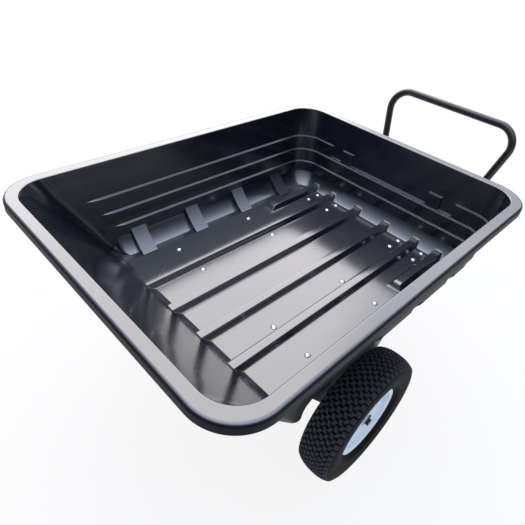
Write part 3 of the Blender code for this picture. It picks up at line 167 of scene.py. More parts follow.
class Signal:
    """One output of a material's nodes."""

    def __init__(self, socket):
        self.socket = socket

    def node(self, kind, settings=None, inputs=None, output=0):
        added = self.socket.id_data.nodes.new(kind)
        for name, value in (settings or {}).items():
            setattr(added, name, value)
        for name, value in (inputs or {}).items():
            feed(added.inputs[name], value)
        return Signal(added.outputs[output])

    def math(self, operation, first, second=0.0):
        settings = {"operation": operation}
        return self.node("ShaderNodeMath", settings, {0: first, 1: second})

    def __add__(self, other):
        return self.math("ADD", self, other)

    def __radd__(self, other):
        return self.math("ADD", other, self)

    def __sub__(self, other):
        return self.math("SUBTRACT", self, other)

    def __rsub__(self, other):
        return self.math("SUBTRACT", other, self)

    def __mul__(self, other):
        return self.math("MULTIPLY", self, other)

    def __rmul__(self, other):
        return self.math("MULTIPLY", other, self)

    def __truediv__(self, other):
        return self.math("DIVIDE", self, other)

    def size(self):
        return self.math("ABSOLUTE", self)

    def root(self):
        return self.math("SQRT", self)

    def most(self, other):
        return self.math("MAXIMUM", self, other)

    def least(self, other):
        return self.math("MINIMUM", self, other)

    def parts(self):
        split = self.node("ShaderNodeSeparateXYZ", {}, {"Vector": self})
        return [Signal(socket) for socket in split.socket.node.outputs]

    def between(self, low, high):
        """0 below low, 1 above high, and a smooth rise in between."""
        names = {"Value": self, "From Min": low, "From Max": high}
        return self.node("ShaderNodeMapRange", {"interpolation_type": "SMOOTHSTEP"}, names)

    def mix(self, colour_at_0, colour_at_1):
        """Blends two colours, with this signal as the share of the second."""
        colours = [c if isinstance(c, Signal) else (*c, 1) for c in (colour_at_0, colour_at_1)]
        names = {"Factor": self, 6: colours[0], 7: colours[1]}
        return self.node("ShaderNodeMix", {"data_type": "RGBA"}, names, 2)

    def stretch(self, x, y, z):
        settings = {"operation": "MULTIPLY"}
        return self.node("ShaderNodeVectorMath", settings, {0: self, 1: (x, y, z)})

    def noise(self, scale, detail=3.0, roughness=0.5):
        names = {"Vector": self, "Scale": scale, "Detail": detail, "Roughness": roughness}
        return self.node("ShaderNodeTexNoise", {}, names)

    def bump(self, distance, strength=1.0, under=None):
        names = {"Height": self, "Distance": distance, "Strength": strength}
        if under is not None:
            names["Normal"] = under
        return self.node("ShaderNodeBump", {}, names)


print("Signal has", len([name for name in vars(Signal) if not name.startswith("__")]), "methods")

# %% [markdown]
# ## Materials
# Each one starts from the place on the object, in metres, so that grain keeps its real size. Fine
# noise roughens the surface, broad noise shifts its colour and gloss, and worn edges are found
# from the surface's curvature; on the tyres those edges also carry a painted highlight, and the
# tub's dust also paints sheen on its tail wall and far side.


# %% Material helpers
def start_material(name, **constants):
    material = bpy.data.materials.new(name)
    material.use_nodes = True
    nodes = material.node_tree.nodes
    shader = nodes["Principled BSDF"]
    for socket, value in constants.items():
        shader.inputs[socket.replace("_", " ")].default_value = value
    place = Signal(nodes.new("ShaderNodeTexCoord").outputs["Object"])
    return material, shader, place


def curvature(material):
    """About 0.5 where the surface is flat, and more along its outer edges."""
    geometry = material.node_tree.nodes.new("ShaderNodeNewGeometry")
    return Signal(geometry.outputs["Pointiness"])


def finish_material(shader, **signals):
    for socket, value in signals.items():
        feed(shader.inputs[socket.replace("_", " ")], value)


# %% The tub's plastic
def skirt_share(place):
    """0 inside the tub and on the flat of its rim, 1 on the skirt outside."""
    x, y = place.parts()[:2]
    corner_x = (x - TUB_X).size() - (HALF_LENGTH + RIM_OUT - OUTER_RADIUS)
    corner_y = y.size() - (HALF_WIDTH + RIM_OUT - OUTER_RADIUS)
    beyond_x, beyond_y = corner_x.most(0.0), corner_y.most(0.0)
    reach = (beyond_x * beyond_x + beyond_y * beyond_y).root()
    out = reach + corner_x.most(corner_y).least(0.0) - OUTER_RADIUS
    return out.between(-0.0045, -0.0008)


def make_tub_plastic():
    """Black polyethylene: glossy inside and on the rim, dull on the skirt and below it."""
    material, shader, place = start_material("tub_plastic", IOR=1.9)
    wave = place.noise(7, 2)
    skin = place.noise(900, 2)
    streak = place.stretch(3, 60, 60).noise(6, 4)
    cloud = place.noise(9, 4)
    clean = cloud.between(0.3, 0.7).mix((0.005, 0.007, 0.012), (0.008, 0.010, 0.016))
    faces = Signal(place.socket.node.outputs["Normal"]).parts()[2]
    # Dust on upward faces is part real dust and part painted sheen: its share reaches down the sloping
    # tail wall and is strongest on the far side, where it pales the floor as sheen would.
    far_side_painted_sheen = place.parts()[1].between(0.08, 0.26)
    dust = faces.between(0.45, 0.98) * (0.25 + 0.35 * cloud + 0.55 * far_side_painted_sheen)
    arc = (place.noise(3, 1) - 0.5).size()
    scuff = (1.0 - arc.between(0.001, 0.004)) * cloud.between(0.46, 0.60) * faces.between(0.80, 0.98)
    colour = (0.5 * scuff).mix(dust.mix(clean, (0.052, 0.055, 0.068)), (0.12, 0.125, 0.135))
    roughness = 0.11 + 0.05 * streak + 0.05 * cloud + 0.12 * scuff
    normal = skin.bump(0.000008, 0.5, wave.bump(0.0016, 0.4))
    finish_material(shader, Base_Color=colour, Roughness=roughness, Normal=normal)
    nodes, links = material.node_tree.nodes, material.node_tree.links
    dull = nodes.new("ShaderNodeBsdfPrincipled")
    dull.inputs["Specular IOR Level"].default_value = 0.04
    finish_material(dull, Base_Color=colour, Roughness=0.28 + 0.2 * cloud, Normal=normal)
    blend = nodes.new("ShaderNodeMixShader")
    underneath = (0.0 - faces).between(0.0, 0.04)
    feed(blend.inputs[0], skirt_share(place).most(underneath))
    links.new(shader.outputs[0], blend.inputs[1])
    links.new(dull.outputs[0], blend.inputs[2])
    links.new(blend.outputs[0], nodes["Material Output"].inputs["Surface"])
    return material


# %% Painted, plated and plain metal
def make_black_steel():
    """Powder coat: a fine orange peel, and edges rubbed a little paler."""
    material, shader, place = start_material("black_steel", IOR=1.5)
    peel = place.noise(420, 2)
    cloud = place.noise(14, 4)
    worn = curvature(material).between(0.56, 0.70) * cloud.between(0.45, 0.65)
    colour = worn.mix((0.010, 0.011, 0.013), (0.060, 0.060, 0.062))
    roughness = 0.26 + 0.14 * cloud
    finish_material(shader, Base_Color=colour, Roughness=roughness, Normal=peel.bump(0.0001))
    return material


def make_zinc():
    """Zinc plate with its faint crystals and a dulling film."""
    material, shader, place = start_material("bright_zinc", Metallic=1.0)
    crystal = place.node("ShaderNodeTexVoronoi", {}, {"Vector": place, "Scale": 260}, 1)
    film = place.noise(90, 4)
    grey = crystal.node("ShaderNodeRGBToBW", {}, {"Color": crystal})
    colour = (0.5 * grey + 0.5 * film).mix((0.50, 0.51, 0.53), (0.72, 0.73, 0.75))
    roughness = 0.18 + 0.25 * film
    finish_material(shader, Base_Color=colour, Roughness=roughness, Normal=film.bump(0.0001, 0.4))
    return material


def make_chrome():
    """Polished bolt heads with light wiping marks."""
    material, shader, place = start_material("polished_chrome", Metallic=1.0)
    mark = place.stretch(1, 6, 1).noise(300, 3)
    colour = mark.between(0.35, 0.65).mix((0.50, 0.51, 0.53), (0.60, 0.61, 0.62))
    roughness = 0.07 + 0.08 * mark
    finish_material(shader, Base_Color=colour, Roughness=roughness, Normal=mark.bump(0.00003, 0.3))
    return material


def make_plain_steel():
    """Drawn bar: fine lines along the axle and thin brown staining."""
    material, shader, place = start_material("plain_steel", Metallic=1.0)
    line = place.stretch(40, 1, 40).noise(30, 3)
    stain = place.noise(45, 5).between(0.55, 0.75)
    colour = stain.mix((0.32, 0.32, 0.33), (0.16, 0.12, 0.09))
    roughness = 0.28 + 0.2 * line + 0.2 * stain
    finish_material(shader, Base_Color=colour, Roughness=roughness, Normal=line.bump(0.00005, 0.5))
    return material


def make_enamel():
    """Pale wheel enamel with a soft orange peel and dust in the dish."""
    material, shader, place = start_material("pale_enamel", IOR=1.5)
    peel = place.noise(300, 2)
    dust = place.noise(28, 5)
    colour = dust.between(0.40, 0.75).mix((0.84, 0.90, 0.96), (0.76, 0.82, 0.89))
    roughness = 0.20 + 0.25 * dust
    finish_material(shader, Base_Color=colour, Roughness=roughness, Normal=peel.bump(0.00012, 0.5))
    return material


# %% Rubber and nylon
def make_rubber(name, dark, pale, rubbed):
    """Tyre rubber: matt, with dust that settles unevenly, and pale bluish block edges that are part rubbed
    wear and part painted highlight.
    """
    material, shader, place = start_material(name, Specular_IOR_Level=0.08)
    dust = place.noise(22, 5)
    grain = place.noise(700, 3)
    clean = dust.between(0.35, 0.75).mix(dark, pale)
    # Convex edges take the rubbed colour: part wear, part a painted highlight for the sky's bluish glint
    # on the tread blocks.
    colour = curvature(material).between(0.50, 0.62).mix(clean, rubbed)
    roughness = 0.58 + 0.25 * dust
    finish_material(shader, Base_Color=colour, Roughness=roughness, Normal=grain.bump(0.0002, 0.6))
    return material


def make_nylon(name, dark, pale):
    """Moulded nylon with a spark-eroded texture."""
    material, shader, place = start_material(name, IOR=1.5)
    grain = place.noise(1100, 2)
    cloud = place.noise(30, 3)
    colour = cloud.mix(dark, pale)
    roughness = 0.42 + 0.2 * cloud
    finish_material(shader, Base_Color=colour, Roughness=roughness, Normal=grain.bump(0.0002, 0.7))
    return material


# %% Give every CAD node its material
# Pale bluish rubber edges: part rubbed wear, part painted highlight.
RUBBED_AND_HIGHLIGHT = (0.040, 0.043, 0.050)
materials = {
    "tub_plastic": make_tub_plastic(),
    "black_steel": make_black_steel(),
    "bright_zinc": make_zinc(),
    "polished_chrome": make_chrome(),
    "plain_steel": make_plain_steel(),
    "pale_enamel": make_enamel(),
    "tyre": make_rubber("tyre", (0.0035, 0.0035, 0.0045), (0.008, 0.0076, 0.0074), RUBBED_AND_HIGHLIGHT),
    "valve_rubber": make_rubber("valve_rubber", (0.012, 0.012, 0.012), (0.024, 0.024, 0.024), RUBBED_AND_HIGHLIGHT),
    "dark_nylon": make_nylon("dark_nylon", (0.018, 0.018, 0.020), (0.036, 0.036, 0.038)),
    "pale_nylon": make_nylon("pale_nylon", (0.62, 0.66, 0.70), (0.72, 0.75, 0.78)),
}
for part in frame["record"]["subparts"]:
    node = frame["nodes"][part["node"]]
    node.data.materials.clear()
    node.data.materials.append(materials[part["material_slot"]])
print("materials:", ", ".join(sorted(materials)))

# %% [markdown]
# ## Two mesh helpers
# `add_piece` turns points and faces into a smooth-shaded object with its material. `lathe` turns a
# profile of (radius, height) pairs about the Y axis, which is how wheels and bolts are made.


# %% Mesh helpers
def add_piece(name, points, faces, material, sharp=35):
    mesh = bpy.data.meshes.new(name)
    mesh.from_pydata([tuple(point) for point in points], [], faces)
    bm = bmesh.new()
    bm.from_mesh(mesh)
    bmesh.ops.remove_doubles(bm, verts=bm.verts, dist=0.00001)
    bmesh.ops.recalc_face_normals(bm, faces=bm.faces)
    bm.to_mesh(mesh)
    bm.free()
    mesh.materials.append(material)
    mesh.shade_smooth()
    mesh.set_sharp_from_angle(angle=radians(sharp))
    piece = bpy.data.objects.new(name, mesh)
    bpy.context.scene.collection.objects.link(piece)
    return piece


BODY_OF = {n: body for body, nodes in frame["record"]["behaviour"]["bodies"].items() for n in nodes}


def stand_in(piece, node):
    """Lets a dressed piece take the place of a CAD node and ride with its body."""
    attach(piece, BODY_OF[node])
    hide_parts(node)
    return piece


def joined(*parts):
    """Several sets of points and faces as one."""
    points, faces = [], []
    for some_points, some_faces in parts:
        faces += [tuple(len(points) + v for v in face) for face in some_faces]
        points += list(some_points)
    return points, faces


def lathe(profile, sides, closed):
    """Points and faces of a turned shape about Y; each profile point is (radius, height)."""
    points = []
    for step in range(sides):
        angle = 2 * pi * step / sides
        points += [(r * cos(angle), h, r * sin(angle)) for r, h in profile]
    count = len(profile)
    faces = []
    for step in range(sides):
        here, ahead = step * count, (step + 1) % sides * count
        for i in range(count if closed else count - 1):
            j = (i + 1) % count
            faces.append((here + i, here + j, ahead + j, ahead + i))
    return points, faces


def smooth_step(value, low, high):
    share = np.clip((value - low) / (high - low), 0, 1)
    return share * share * (3 - 2 * share)


def smooth_max(first, second, radius):
    """The larger of two heights, with a fillet where they cross."""
    radius = np.maximum(radius, 1e-9)
    near = np.maximum(radius - np.abs(first - second), 0) / radius
    return np.maximum(first, second) + near * near * radius / 4


# %% [markdown]
# ## The tub's plan
# The moulding is a loft. At each depth below the rim there is an outline with the same number of
# points, laid out so that points line up with the ribs and straps below. Sample lines crowd
# together where the surface turns sharply and spread out where it is flat.

# %% Sample lines across and along
def sample_lines(low, high, spacing, centres, offsets):
    """Lines from low to high: crowded at each centre's offsets, evenly spaced elsewhere."""
    fine = [c + s * o for c in centres for o in offsets for s in (-1, 1)]
    lines = sorted({round(v, 5) for v in [low, high, *centres, *fine] if low <= v <= high})
    filled = []
    for here, ahead in zip(lines, lines[1:]):
        pieces = max(1, int(np.ceil((ahead - here) / spacing)))
        filled += [here + (ahead - here) * k / pieces for k in range(pieces)]
    return np.array([*filled, lines[-1]])


RIB_OFFSETS = [0.0104, 0.0112, 0.0119, 0.0125, 0.0131, 0.0138, 0.0145, 0.0153, 0.0162, 0.0171]
RIB_OFFSETS += [0.0180, 0.0189, 0.0199, 0.0209, 0.0220, 0.0232, 0.0245]
STRAP_OFFSETS = (0.0215, 0.0231, 0.0241, 0.0247, 0.0253, 0.0259, 0.0269, 0.0285)
DASH_EDGES = (0.152, 0.200, 0.246)
DASH_OFFSETS = (0.0004, 0.0012, 0.0022)
LINE_SPACING, TAIL_BAND, FRONT_BAND = 0.012, 0.012, 0.010
ROW_STRETCH_START = 0.2826
dash_lines = [s * edge for edge in DASH_EDGES for s in (-1, 1)]
rib_rows = sample_lines(-Y_CORE, Y_CORE, LINE_SPACING, RIB_LINES, RIB_OFFSETS)
dash_rows = sample_lines(-Y_CORE, Y_CORE, 1.0, dash_lines, DASH_OFFSETS)
ROWS = np.unique(np.round(np.concatenate((rib_rows, dash_rows)), 5))
strap_columns = sample_lines(X_TAIL_CORE, X_FRONT_CORE, LINE_SPACING, STRAP_LINES, STRAP_OFFSETS)
end_columns = sample_lines(X_TAIL_CORE, X_FRONT_CORE, 1.0, [SHORT_RIB_START], (0.002, 0.004, 0.006))
taper_columns = np.linspace(X_TAIL_CORE, X_TAIL_CORE + TAIL_BAND, 14)
COLUMNS = np.unique(np.round(np.concatenate((strap_columns, end_columns, taper_columns)), 5))
print(f"{len(ROWS)} lines along the tub and {len(COLUMNS)} across it")


# %% The outline at a depth
def outline(depth, out=0.0):
    """Plan of the plain walls: x, y, outward direction, and the share of side, front and tail."""
    share = depth / TUB_DEPTH
    tail = -HALF_LENGTH + TAIL_DRAFT * depth - out
    front = HALF_LENGTH - FRONT_DRAFT * depth + out
    half = HALF_WIDTH - SIDE_DRAFT * depth + out
    top_radius = TOP_RADIUS + (OUTER_RADIUS - TOP_RADIUS) * out / RIM_OUT
    front_radius = top_radius + (FRONT_FLOOR_RADIUS - top_radius) * share
    tail_radius = top_radius + (TAIL_FLOOR_RADIUS - top_radius) * share
    row_end = half - front_radius
    past_ribs = np.abs(ROWS) - ROW_STRETCH_START
    stretch = np.clip(past_ribs / (Y_CORE - ROW_STRETCH_START), 0, 1)
    rows = ROWS + np.sign(ROWS) * stretch * (row_end - Y_CORE)
    front_end, tail_end = front - front_radius, tail + tail_radius
    ahead = np.clip((COLUMNS - (X_FRONT_CORE - FRONT_BAND)) / FRONT_BAND, 0, 1)
    behind = np.clip((X_TAIL_CORE + TAIL_BAND - COLUMNS) / TAIL_BAND, 0, 1)
    columns = COLUMNS + ahead * (front_end - X_FRONT_CORE) + behind * (tail_end - X_TAIL_CORE)
    turn = np.linspace(0, pi / 2, CORNER_POINTS + 2)

    def pack(x, y, nx, ny, side, fore, aft):
        parts = np.broadcast_arrays(x, y, nx, ny, side, fore, aft)
        return np.stack([np.asarray(part, float) for part in parts], axis=1)

    c, s = np.cos(turn[1:-1]), np.sin(turn[1:-1])
    front_wall = pack(front, rows, 1, 0, 0, 1, 0)
    near_corner = pack(
        front_end + front_radius * c, row_end + front_radius * s, c, s, s * s, c * c, 0
    )
    side_wall = pack(columns[::-1], half, 0, 1, 1, 0, 0)
    c, s = np.cos(turn[1:] + pi / 2), np.sin(turn[1:] + pi / 2)
    middle = half - tail_radius
    far_corner = pack(tail_end + tail_radius * c, middle + tail_radius * s, c, s, s * s, 0, c * c)
    drop = np.linspace(0, 1, TAIL_STRAIGHT_POINTS + 2)[1:-1]
    straight = pack(tail, middle + (row_end - middle) * drop, -1, 0, 0, 0, 1)
    tail_wall = pack(tail, rows[::-1], -1, 0, 0, 0, 1)
    left = [near_corner, side_wall, far_corner, straight]
    flip = np.array([1, -1, 1, -1, 1, 1, 1])
    right = [part[::-1] * flip for part in reversed(left)]
    return np.concatenate([front_wall, *left, tail_wall, *right])


# %% [markdown]
# ## Ledges, coves, ribs and straps
# Below the lip, the walls move in by small ledges and by a rounded cove at their foot. The ribs
# and straps are added as heights and pulls on the lofted points, with fillets from a smooth
# maximum. On the front wall the upper ledge is broken: two short pads stand alone, and the wall
# between them catches up in a second, close step.


# %% Ledges and coves
LEDGE_RISE, LEDGE_TAPER = 0.0022, 0.055
UPPER, CATCH_UP, MIDDLE, LOWER = 0.1005, 0.1435, 0.1490, 0.1940
TAPER_STARTS = {UPPER: -0.372, MIDDLE: -0.338, LOWER: -0.308}


def pads(y):
    """1 where the front wall has its upper ledge: beyond its outer ends and on two pads."""
    reach = np.abs(y)
    outer = smooth_step(reach, 0.2445, 0.2475)
    return outer + smooth_step(reach, 0.1505, 0.1535) - smooth_step(reach, 0.1985, 0.2015)


def ledges(depth, x, y, side, fore):
    """How far the ledges above a depth have moved the wall in."""
    total = np.zeros_like(x)
    for level in (UPPER, CATCH_UP, MIDDLE, LOWER):
        share = smooth_step(depth, level, level + LEDGE_RISE)
        on_front = {UPPER: pads(y), CATCH_UP: 1 - pads(y)}.get(level, 1.0)
        start = TAPER_STARTS.get(level)
        on_side = 0.0 if start is None else smooth_step(x, start, start + LEDGE_TAPER)
        total += LEDGE * share * (fore * on_front + side * on_side)
    return total


def cove(depth, shape):
    """How far the hollow at a wall's foot has come in: half of it evenly, half along a curve."""
    width, height, power = shape
    share = np.clip((depth - TUB_DEPTH + height) / height, 0, 1)
    curve = 1 - (1 - share**power) ** (1 / power)
    return width * (0.5 * share + 0.5 * curve)


def lobe(depth, x):
    """1 along the side's cove, and a round nose where it ends near the tail."""
    share = np.clip((depth - TUB_DEPTH + SIDE_COVE[1]) / SIDE_COVE[1], 0, 1)
    start = LOBE_X - LOBE_ROUND * (1 - np.abs(2 * share - 1) ** 4) ** 0.25
    reach = np.clip((x - start) / LOBE_NOSE, 0, 1)
    return np.sqrt(1 - (1 - reach) ** 2)


def inset(depth, plan):
    """How far the walls have moved in from their plain outline at a depth."""
    x, y, side, fore, aft = plan[:, 0], plan[:, 1], plan[:, 4], plan[:, 5], plan[:, 6]
    total = ledges(depth, x, y, side, fore)
    side_slope = lobe(depth, x)
    total += side * side_slope * cove(depth, SIDE_COVE) + fore * cove(depth, FRONT_COVE)
    plain = np.maximum(aft, side * (1 - side_slope))
    return total + plain * cove(depth, TAIL_COVE)


# %% Ribs and straps
def rib_height(x, y):
    """Height of the ribs over the floor: the outer two are short, and all end in a half round."""
    height = np.zeros_like(x)
    for line in RIB_LINES:
        inside = RIB_HALF_FOOT - np.abs(y - line)
        if abs(line) > 0.2:
            nose_slope = FAR_NOSE_SLOPE if line > 0 else NEAR_NOSE_SLOPE
            inside = np.minimum(inside, nose_slope * (x - SHORT_RIB_START))
        beyond = np.maximum(x - (RIB_END - RIB_HALF_FOOT), 0)
        inside = np.where(beyond > 0, RIB_HALF_FOOT - np.hypot(y - line, beyond), inside)
        side = np.where((y > line) & (beyond == 0), RIB_BACK, RIB_SIDE)
        slope = np.clip(inside / side, -2, 2) * RIB_HEIGHT
        top = RIB_HEIGHT + RIB_TILT * np.sign(line) * (y - line)
        filleted = smooth_max(slope, np.zeros_like(slope), RIB_FOOT_FILLET)
        rounded = -smooth_max(-filleted, -top, RIB_TOP_ROUND)
        height = np.maximum(height, rounded)
    return height


def raise_ribs(points):
    height = rib_height(points[:, 0], points[:, 1])
    wall = points[:, 2] - FLOOR_Z
    fillet = RIB_WALL_FILLET * np.clip(np.minimum(height, wall) / RIB_WALL_FILLET, 0, 1)
    points[:, 2] = FLOOR_Z + smooth_max(wall, height, fillet)


def pull_straps(points):
    """Spans the side coves with slightly hollow straps, from the wall down to the floor."""
    wall_top = np.array([HALF_WIDTH - SIDE_DRAFT * STRAP_TOP - 3 * LEDGE, RIM_Z - STRAP_TOP])
    foot = np.array([STRAP_FOOT_Y, FLOOR_Z + STRAP_FOOT_RISE])
    chord = foot - wall_top
    length = np.hypot(*chord)
    across = np.array([-chord[1], chord[0]]) / length
    flat = np.stack((np.abs(points[:, 1]), points[:, 2]), axis=1)
    share = (flat - wall_top) @ chord / length**2
    inside = (share > 0) & (share < 1.001)
    bow = STRAP_BOW * 4 * share * (1 - share)
    target = wall_top + share[:, None] * chord + across * bow[:, None]
    away = np.min([np.abs(points[:, 0] - line) for line in STRAP_LINES], axis=0)
    mask = (1 - smooth_step(away, STRAP_HALF - STRAP_EDGE, STRAP_HALF + STRAP_EDGE)) * inside
    moved = flat + (target - flat) * mask[:, None]
    points[:, 1] = np.sign(points[:, 1]) * moved[:, 0]
    points[:, 2] = moved[:, 1]


# %% [markdown]
# ## Lofting the tub
# The profile runs from the foot of the skirt, over the rounded rim, down the wall, round the cove
# and across the floor's margin. Each level says how far back its rear face lies, so that the same
# points serve for both faces of the moulding.


# %% Levels from the skirt to the floor
def rim_levels():
    """(distance out from the opening, drop below the rim, rear shift out, rear shift down)"""
    levels = [(RIM_OUT, drop, -WALL, 0.0) for drop in (SKIRT_DROP, 0.020, 0.014, 0.010)]
    for angle in np.linspace(0, pi / 2, 8):
        c, s = cos(angle), sin(angle)
        out, drop = RIM_OUT - EDGE_RADIUS * (1 - c), EDGE_RADIUS * (1 - s)
        levels.append((out, drop, -WALL * c, -WALL * s))
    levels += [(0.0225, 0.0, 0.0, -WALL), (0.013, 0.0, 0.0, -WALL), (0.0045, 0.0, 0.0, -WALL)]
    for angle in np.linspace(pi / 2, pi, 7):
        c, s = cos(angle), sin(angle)
        out, drop = LIP_RADIUS * (1 + c), LIP_RADIUS * (1 - s)
        levels.append((out, drop, -WALL * c, -WALL * s))
    return levels


def wall_depths():
    """Depths of the wall's rings: close together at the ledges and below the straps' tops."""
    depths = [0.03, 0.065]
    for level in (UPPER, CATCH_UP, MIDDLE, LOWER):
        depths += [level + LEDGE_RISE * share for share in (-0.15, 0, 0.2, 0.4, 0.6, 0.8, 1, 1.15)]
    foot_height = TUB_DEPTH - STRAP_TOP + 0.004
    depths += [TUB_DEPTH - foot_height * (1 - step / 32) for step in range(33)]
    depths += [TUB_DEPTH - cove[1] for cove in (SIDE_COVE, FRONT_COVE, TAIL_COVE)]
    depths += [TUB_DEPTH - height for height in (0.0001, 0.0003, 0.0007, 0.0012, 0.0019)]
    return sorted(set(depths))


def tub_rings():
    """Front and rear points of every ring, from the skirt to the floor's core."""
    rings = []
    for out, drop, rear_out, rear_down in rim_levels():
        plan = outline(0.0, out)
        front_points = np.column_stack((plan[:, :2], np.full(len(plan), RIM_Z - drop)))
        rear = np.column_stack((plan[:, 2:4] * rear_out, np.full(len(plan), rear_down)))
        rings.append((front_points, rear))
    for depth in wall_depths():
        plan = outline(depth)
        place = plan[:, :2] - plan[:, 2:4] * inset(depth, plan)[:, None]
        front_points = np.column_stack((place, np.full(len(plan), RIM_Z - depth)))
        rear = np.column_stack((plan[:, 2:4] * WALL, np.full(len(plan), -WALL)))
        rings.append((front_points, rear))
    edge, rear = rings[-1]
    core = edge.copy()
    core[:, 0] = np.clip(core[:, 0], X_TAIL_CORE, X_FRONT_CORE)
    core[:, 1] = np.clip(core[:, 1], -Y_CORE, Y_CORE)
    for step in range(1, FLOOR_RINGS + 1):
        share = step / FLOOR_RINGS
        rings.append((edge + (core - edge) * share, rear * [1 - share, 1 - share, 1]))
    return rings


# %% Join the rings and the floor
def loft_tub():
    rings = tub_rings()
    count = len(rings[0][0])
    rows, columns = len(ROWS), len(COLUMNS)
    side_start = rows + CORNER_POINTS
    tail_start = side_start + columns + CORNER_POINTS + 1 + TAIL_STRAIGHT_POINTS
    right_start = tail_start + rows + TAIL_STRAIGHT_POINTS + CORNER_POINTS + 1
    inner_x, inner_y = np.meshgrid(COLUMNS[1:-1], ROWS[1:-1], indexing="ij")
    floor = np.column_stack((inner_x.ravel(), inner_y.ravel(), np.full(inner_x.size, FLOOR_Z)))
    face = np.concatenate([points for points, rear in rings] + [floor])
    shift = np.concatenate([rear for points, rear in rings] + [np.tile((0, 0, -WALL), (len(floor), 1))])
    pull_straps(face)
    raise_ribs(face)
    last = (len(rings) - 1) * count
    floor_start = len(rings) * count

    def floor_point(i, j):
        if j == 0:
            return last + right_start + i
        if j == rows - 1:
            return last + side_start + columns - 1 - i
        if i == 0:
            return last + tail_start + rows - 1 - j
        if i == columns - 1:
            return last + j
        return floor_start + (i - 1) * (rows - 2) + j - 1

    faces = []
    for ring in range(len(rings) - 1):
        outer, inner = ring * count, (ring + 1) * count
        for i in range(count):
            j = (i + 1) % count
            faces.append((outer + i, outer + j, inner + j, inner + i))
    for i in range(columns - 1):
        for j in range(rows - 1):
            corners = ((i, j), (i + 1, j), (i + 1, j + 1), (i, j + 1))
            faces.append(tuple(floor_point(*corner) for corner in corners))
    total = len(face)
    rear_faces = [tuple(total + v for v in reversed(corners)) for corners in faces]
    foot = [(i, total + i, total + (i + 1) % count, (i + 1) % count) for i in range(count)]
    points = np.concatenate((face, face + shift)) + (TUB_X, 0, 0)
    return points, faces + rear_faces + foot


points, faces = loft_tub()
tub = add_piece("moulded_tub", points, faces, materials["tub_plastic"], 40)
weighted = tub.modifiers.new("weighted", "WEIGHTED_NORMAL")
weighted.keep_sharp = True
stand_in(tub, "tub")
print("tub:", len(tub.data.polygons), "faces")

# %% [markdown]
# ## Bolts
# The sixteen dome heads on the floor share two meshes, because their grips differ. A head is a
# cap of a sphere; below the sheet there is a hexagonal nut on the shank.


# %% Dome bolts
HEAD_ROOM, NUT_HEIGHT, SHANK_END = 0.0042, 0.0065, 0.003


def dome_bolt(grip):
    """Points and faces of a bolt about Y, with the underside of its head at zero."""
    head_radius, head_height, shank, nut_radius = 0.0081, 0.0044, 0.004, 0.0063
    sphere = (head_radius**2 + head_height**2) / (2 * head_height)
    widest = float(np.arcsin(head_radius / sphere))
    dome = []
    for angle in np.linspace(0.02, widest, 8):
        dome.append((sphere * sin(angle), head_height - sphere * (1 - cos(angle))))
    dome += [(shank, 0.0), (shank, -grip)]
    nut_foot = -grip - NUT_HEIGHT
    tip = nut_foot - SHANK_END
    nut = [(shank, -grip), (nut_radius, -grip), (nut_radius, nut_foot), (shank, nut_foot)]
    end = [(shank, nut_foot), (shank * 0.85, tip), (0.0001, tip)]
    return joined(lathe(dome, 28, False), lathe(nut, 6, True), lathe(end, 24, False))


bolt_meshes = {}
for node in [name for name in BODY_OF if name.startswith(("support_bolt", "rest_bolt"))]:
    kind = node.split("_")[0]
    low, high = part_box(node)
    if kind not in bolt_meshes:
        head_seat = high.z - HEAD_ROOM
        grip = head_seat - (low.z + SHANK_END + NUT_HEIGHT)
        points, faces = dome_bolt(grip)
        upright = [(x, -z, y) for x, y, z in points]
        bolt = add_piece(node + "_dome", upright, faces, materials["polished_chrome"])
        bolt_meshes[kind] = bolt.data
    else:
        bolt = bpy.data.objects.new(node + "_dome", bolt_meshes[kind])
        bpy.context.scene.collection.objects.link(bolt)
    bolt.location = ((low.x + high.x) / 2, (low.y + high.y) / 2, high.z - HEAD_ROOM)
    stand_in(bolt, node)

# %% [markdown]
# ## Turf tyres
# The carcass is turned. Nine rows of small staggered blocks follow its crown, and their ends are
# skewed one way and the other so that the rows interlock like the tread in the photograph.

# %% Tyres
TYRE_RADIUS, TREAD_HALF, LUG_DEPTH = 0.1992, 0.0495, 0.0046
LUG_ROWS, LUGS_ROUND, LUG_SPACING = 9, 60, 0.0106


def crown(y):
    """Radius of the tread at a distance from its middle."""
    return TYRE_RADIUS - 0.0118 * (abs(y) / TREAD_HALF) ** 2.6


def tyre_section():
    """(radius, height) pairs from one bead over the tread to the other."""
    tread = [(crown(y) - LUG_DEPTH, float(y)) for y in np.linspace(0, TREAD_HALF - 0.0005, 9)]
    side = [(0.1800, 0.0506), (0.1730, 0.0515), (0.1620, 0.0519), (0.1500, 0.0514), (0.1400, 0.0500)]
    side += [(0.1330, 0.0482), (0.1315, 0.0486), (0.1290, 0.0480), (0.1280, 0.0468)]
    side += [(0.1200, 0.0418), (0.1145, 0.0372), (0.1118, 0.0352), (0.1045, 0.0345)]
    half = tread + side
    return [(r, -y) for r, y in reversed(half)] + half[1:]


def lug(row, step):
    """One tread block: eight points and five faces, skewed by its row."""
    edge = abs(row) == LUG_ROWS // 2
    half_width = 0.0052 if edge else 0.0047
    half_length = 0.0074 if edge else 0.0068
    middle_y = row * LUG_SPACING
    start = 2 * pi * (step + 0.5 * (row % 2)) / LUGS_ROUND
    skew = 0.0 if edge else 0.45 * (1 if row % 2 else -1)
    points = []
    for shrink, drop in ((0.0, LUG_DEPTH + 0.0006), (0.0008, 0.0)):
        for across, along in ((-1, -1), (1, -1), (1, 1), (-1, 1)):
            length = along * (half_length - shrink)
            y = middle_y + across * (half_width - shrink) + skew * length
            radius = crown(y) - drop
            angle = start + length / TYRE_RADIUS
            points.append((radius * cos(angle), y, radius * sin(angle)))
    faces = [(4, 5, 6, 7), (0, 1, 5, 4), (1, 2, 6, 5), (2, 3, 7, 6), (3, 0, 4, 7)]
    return points, faces


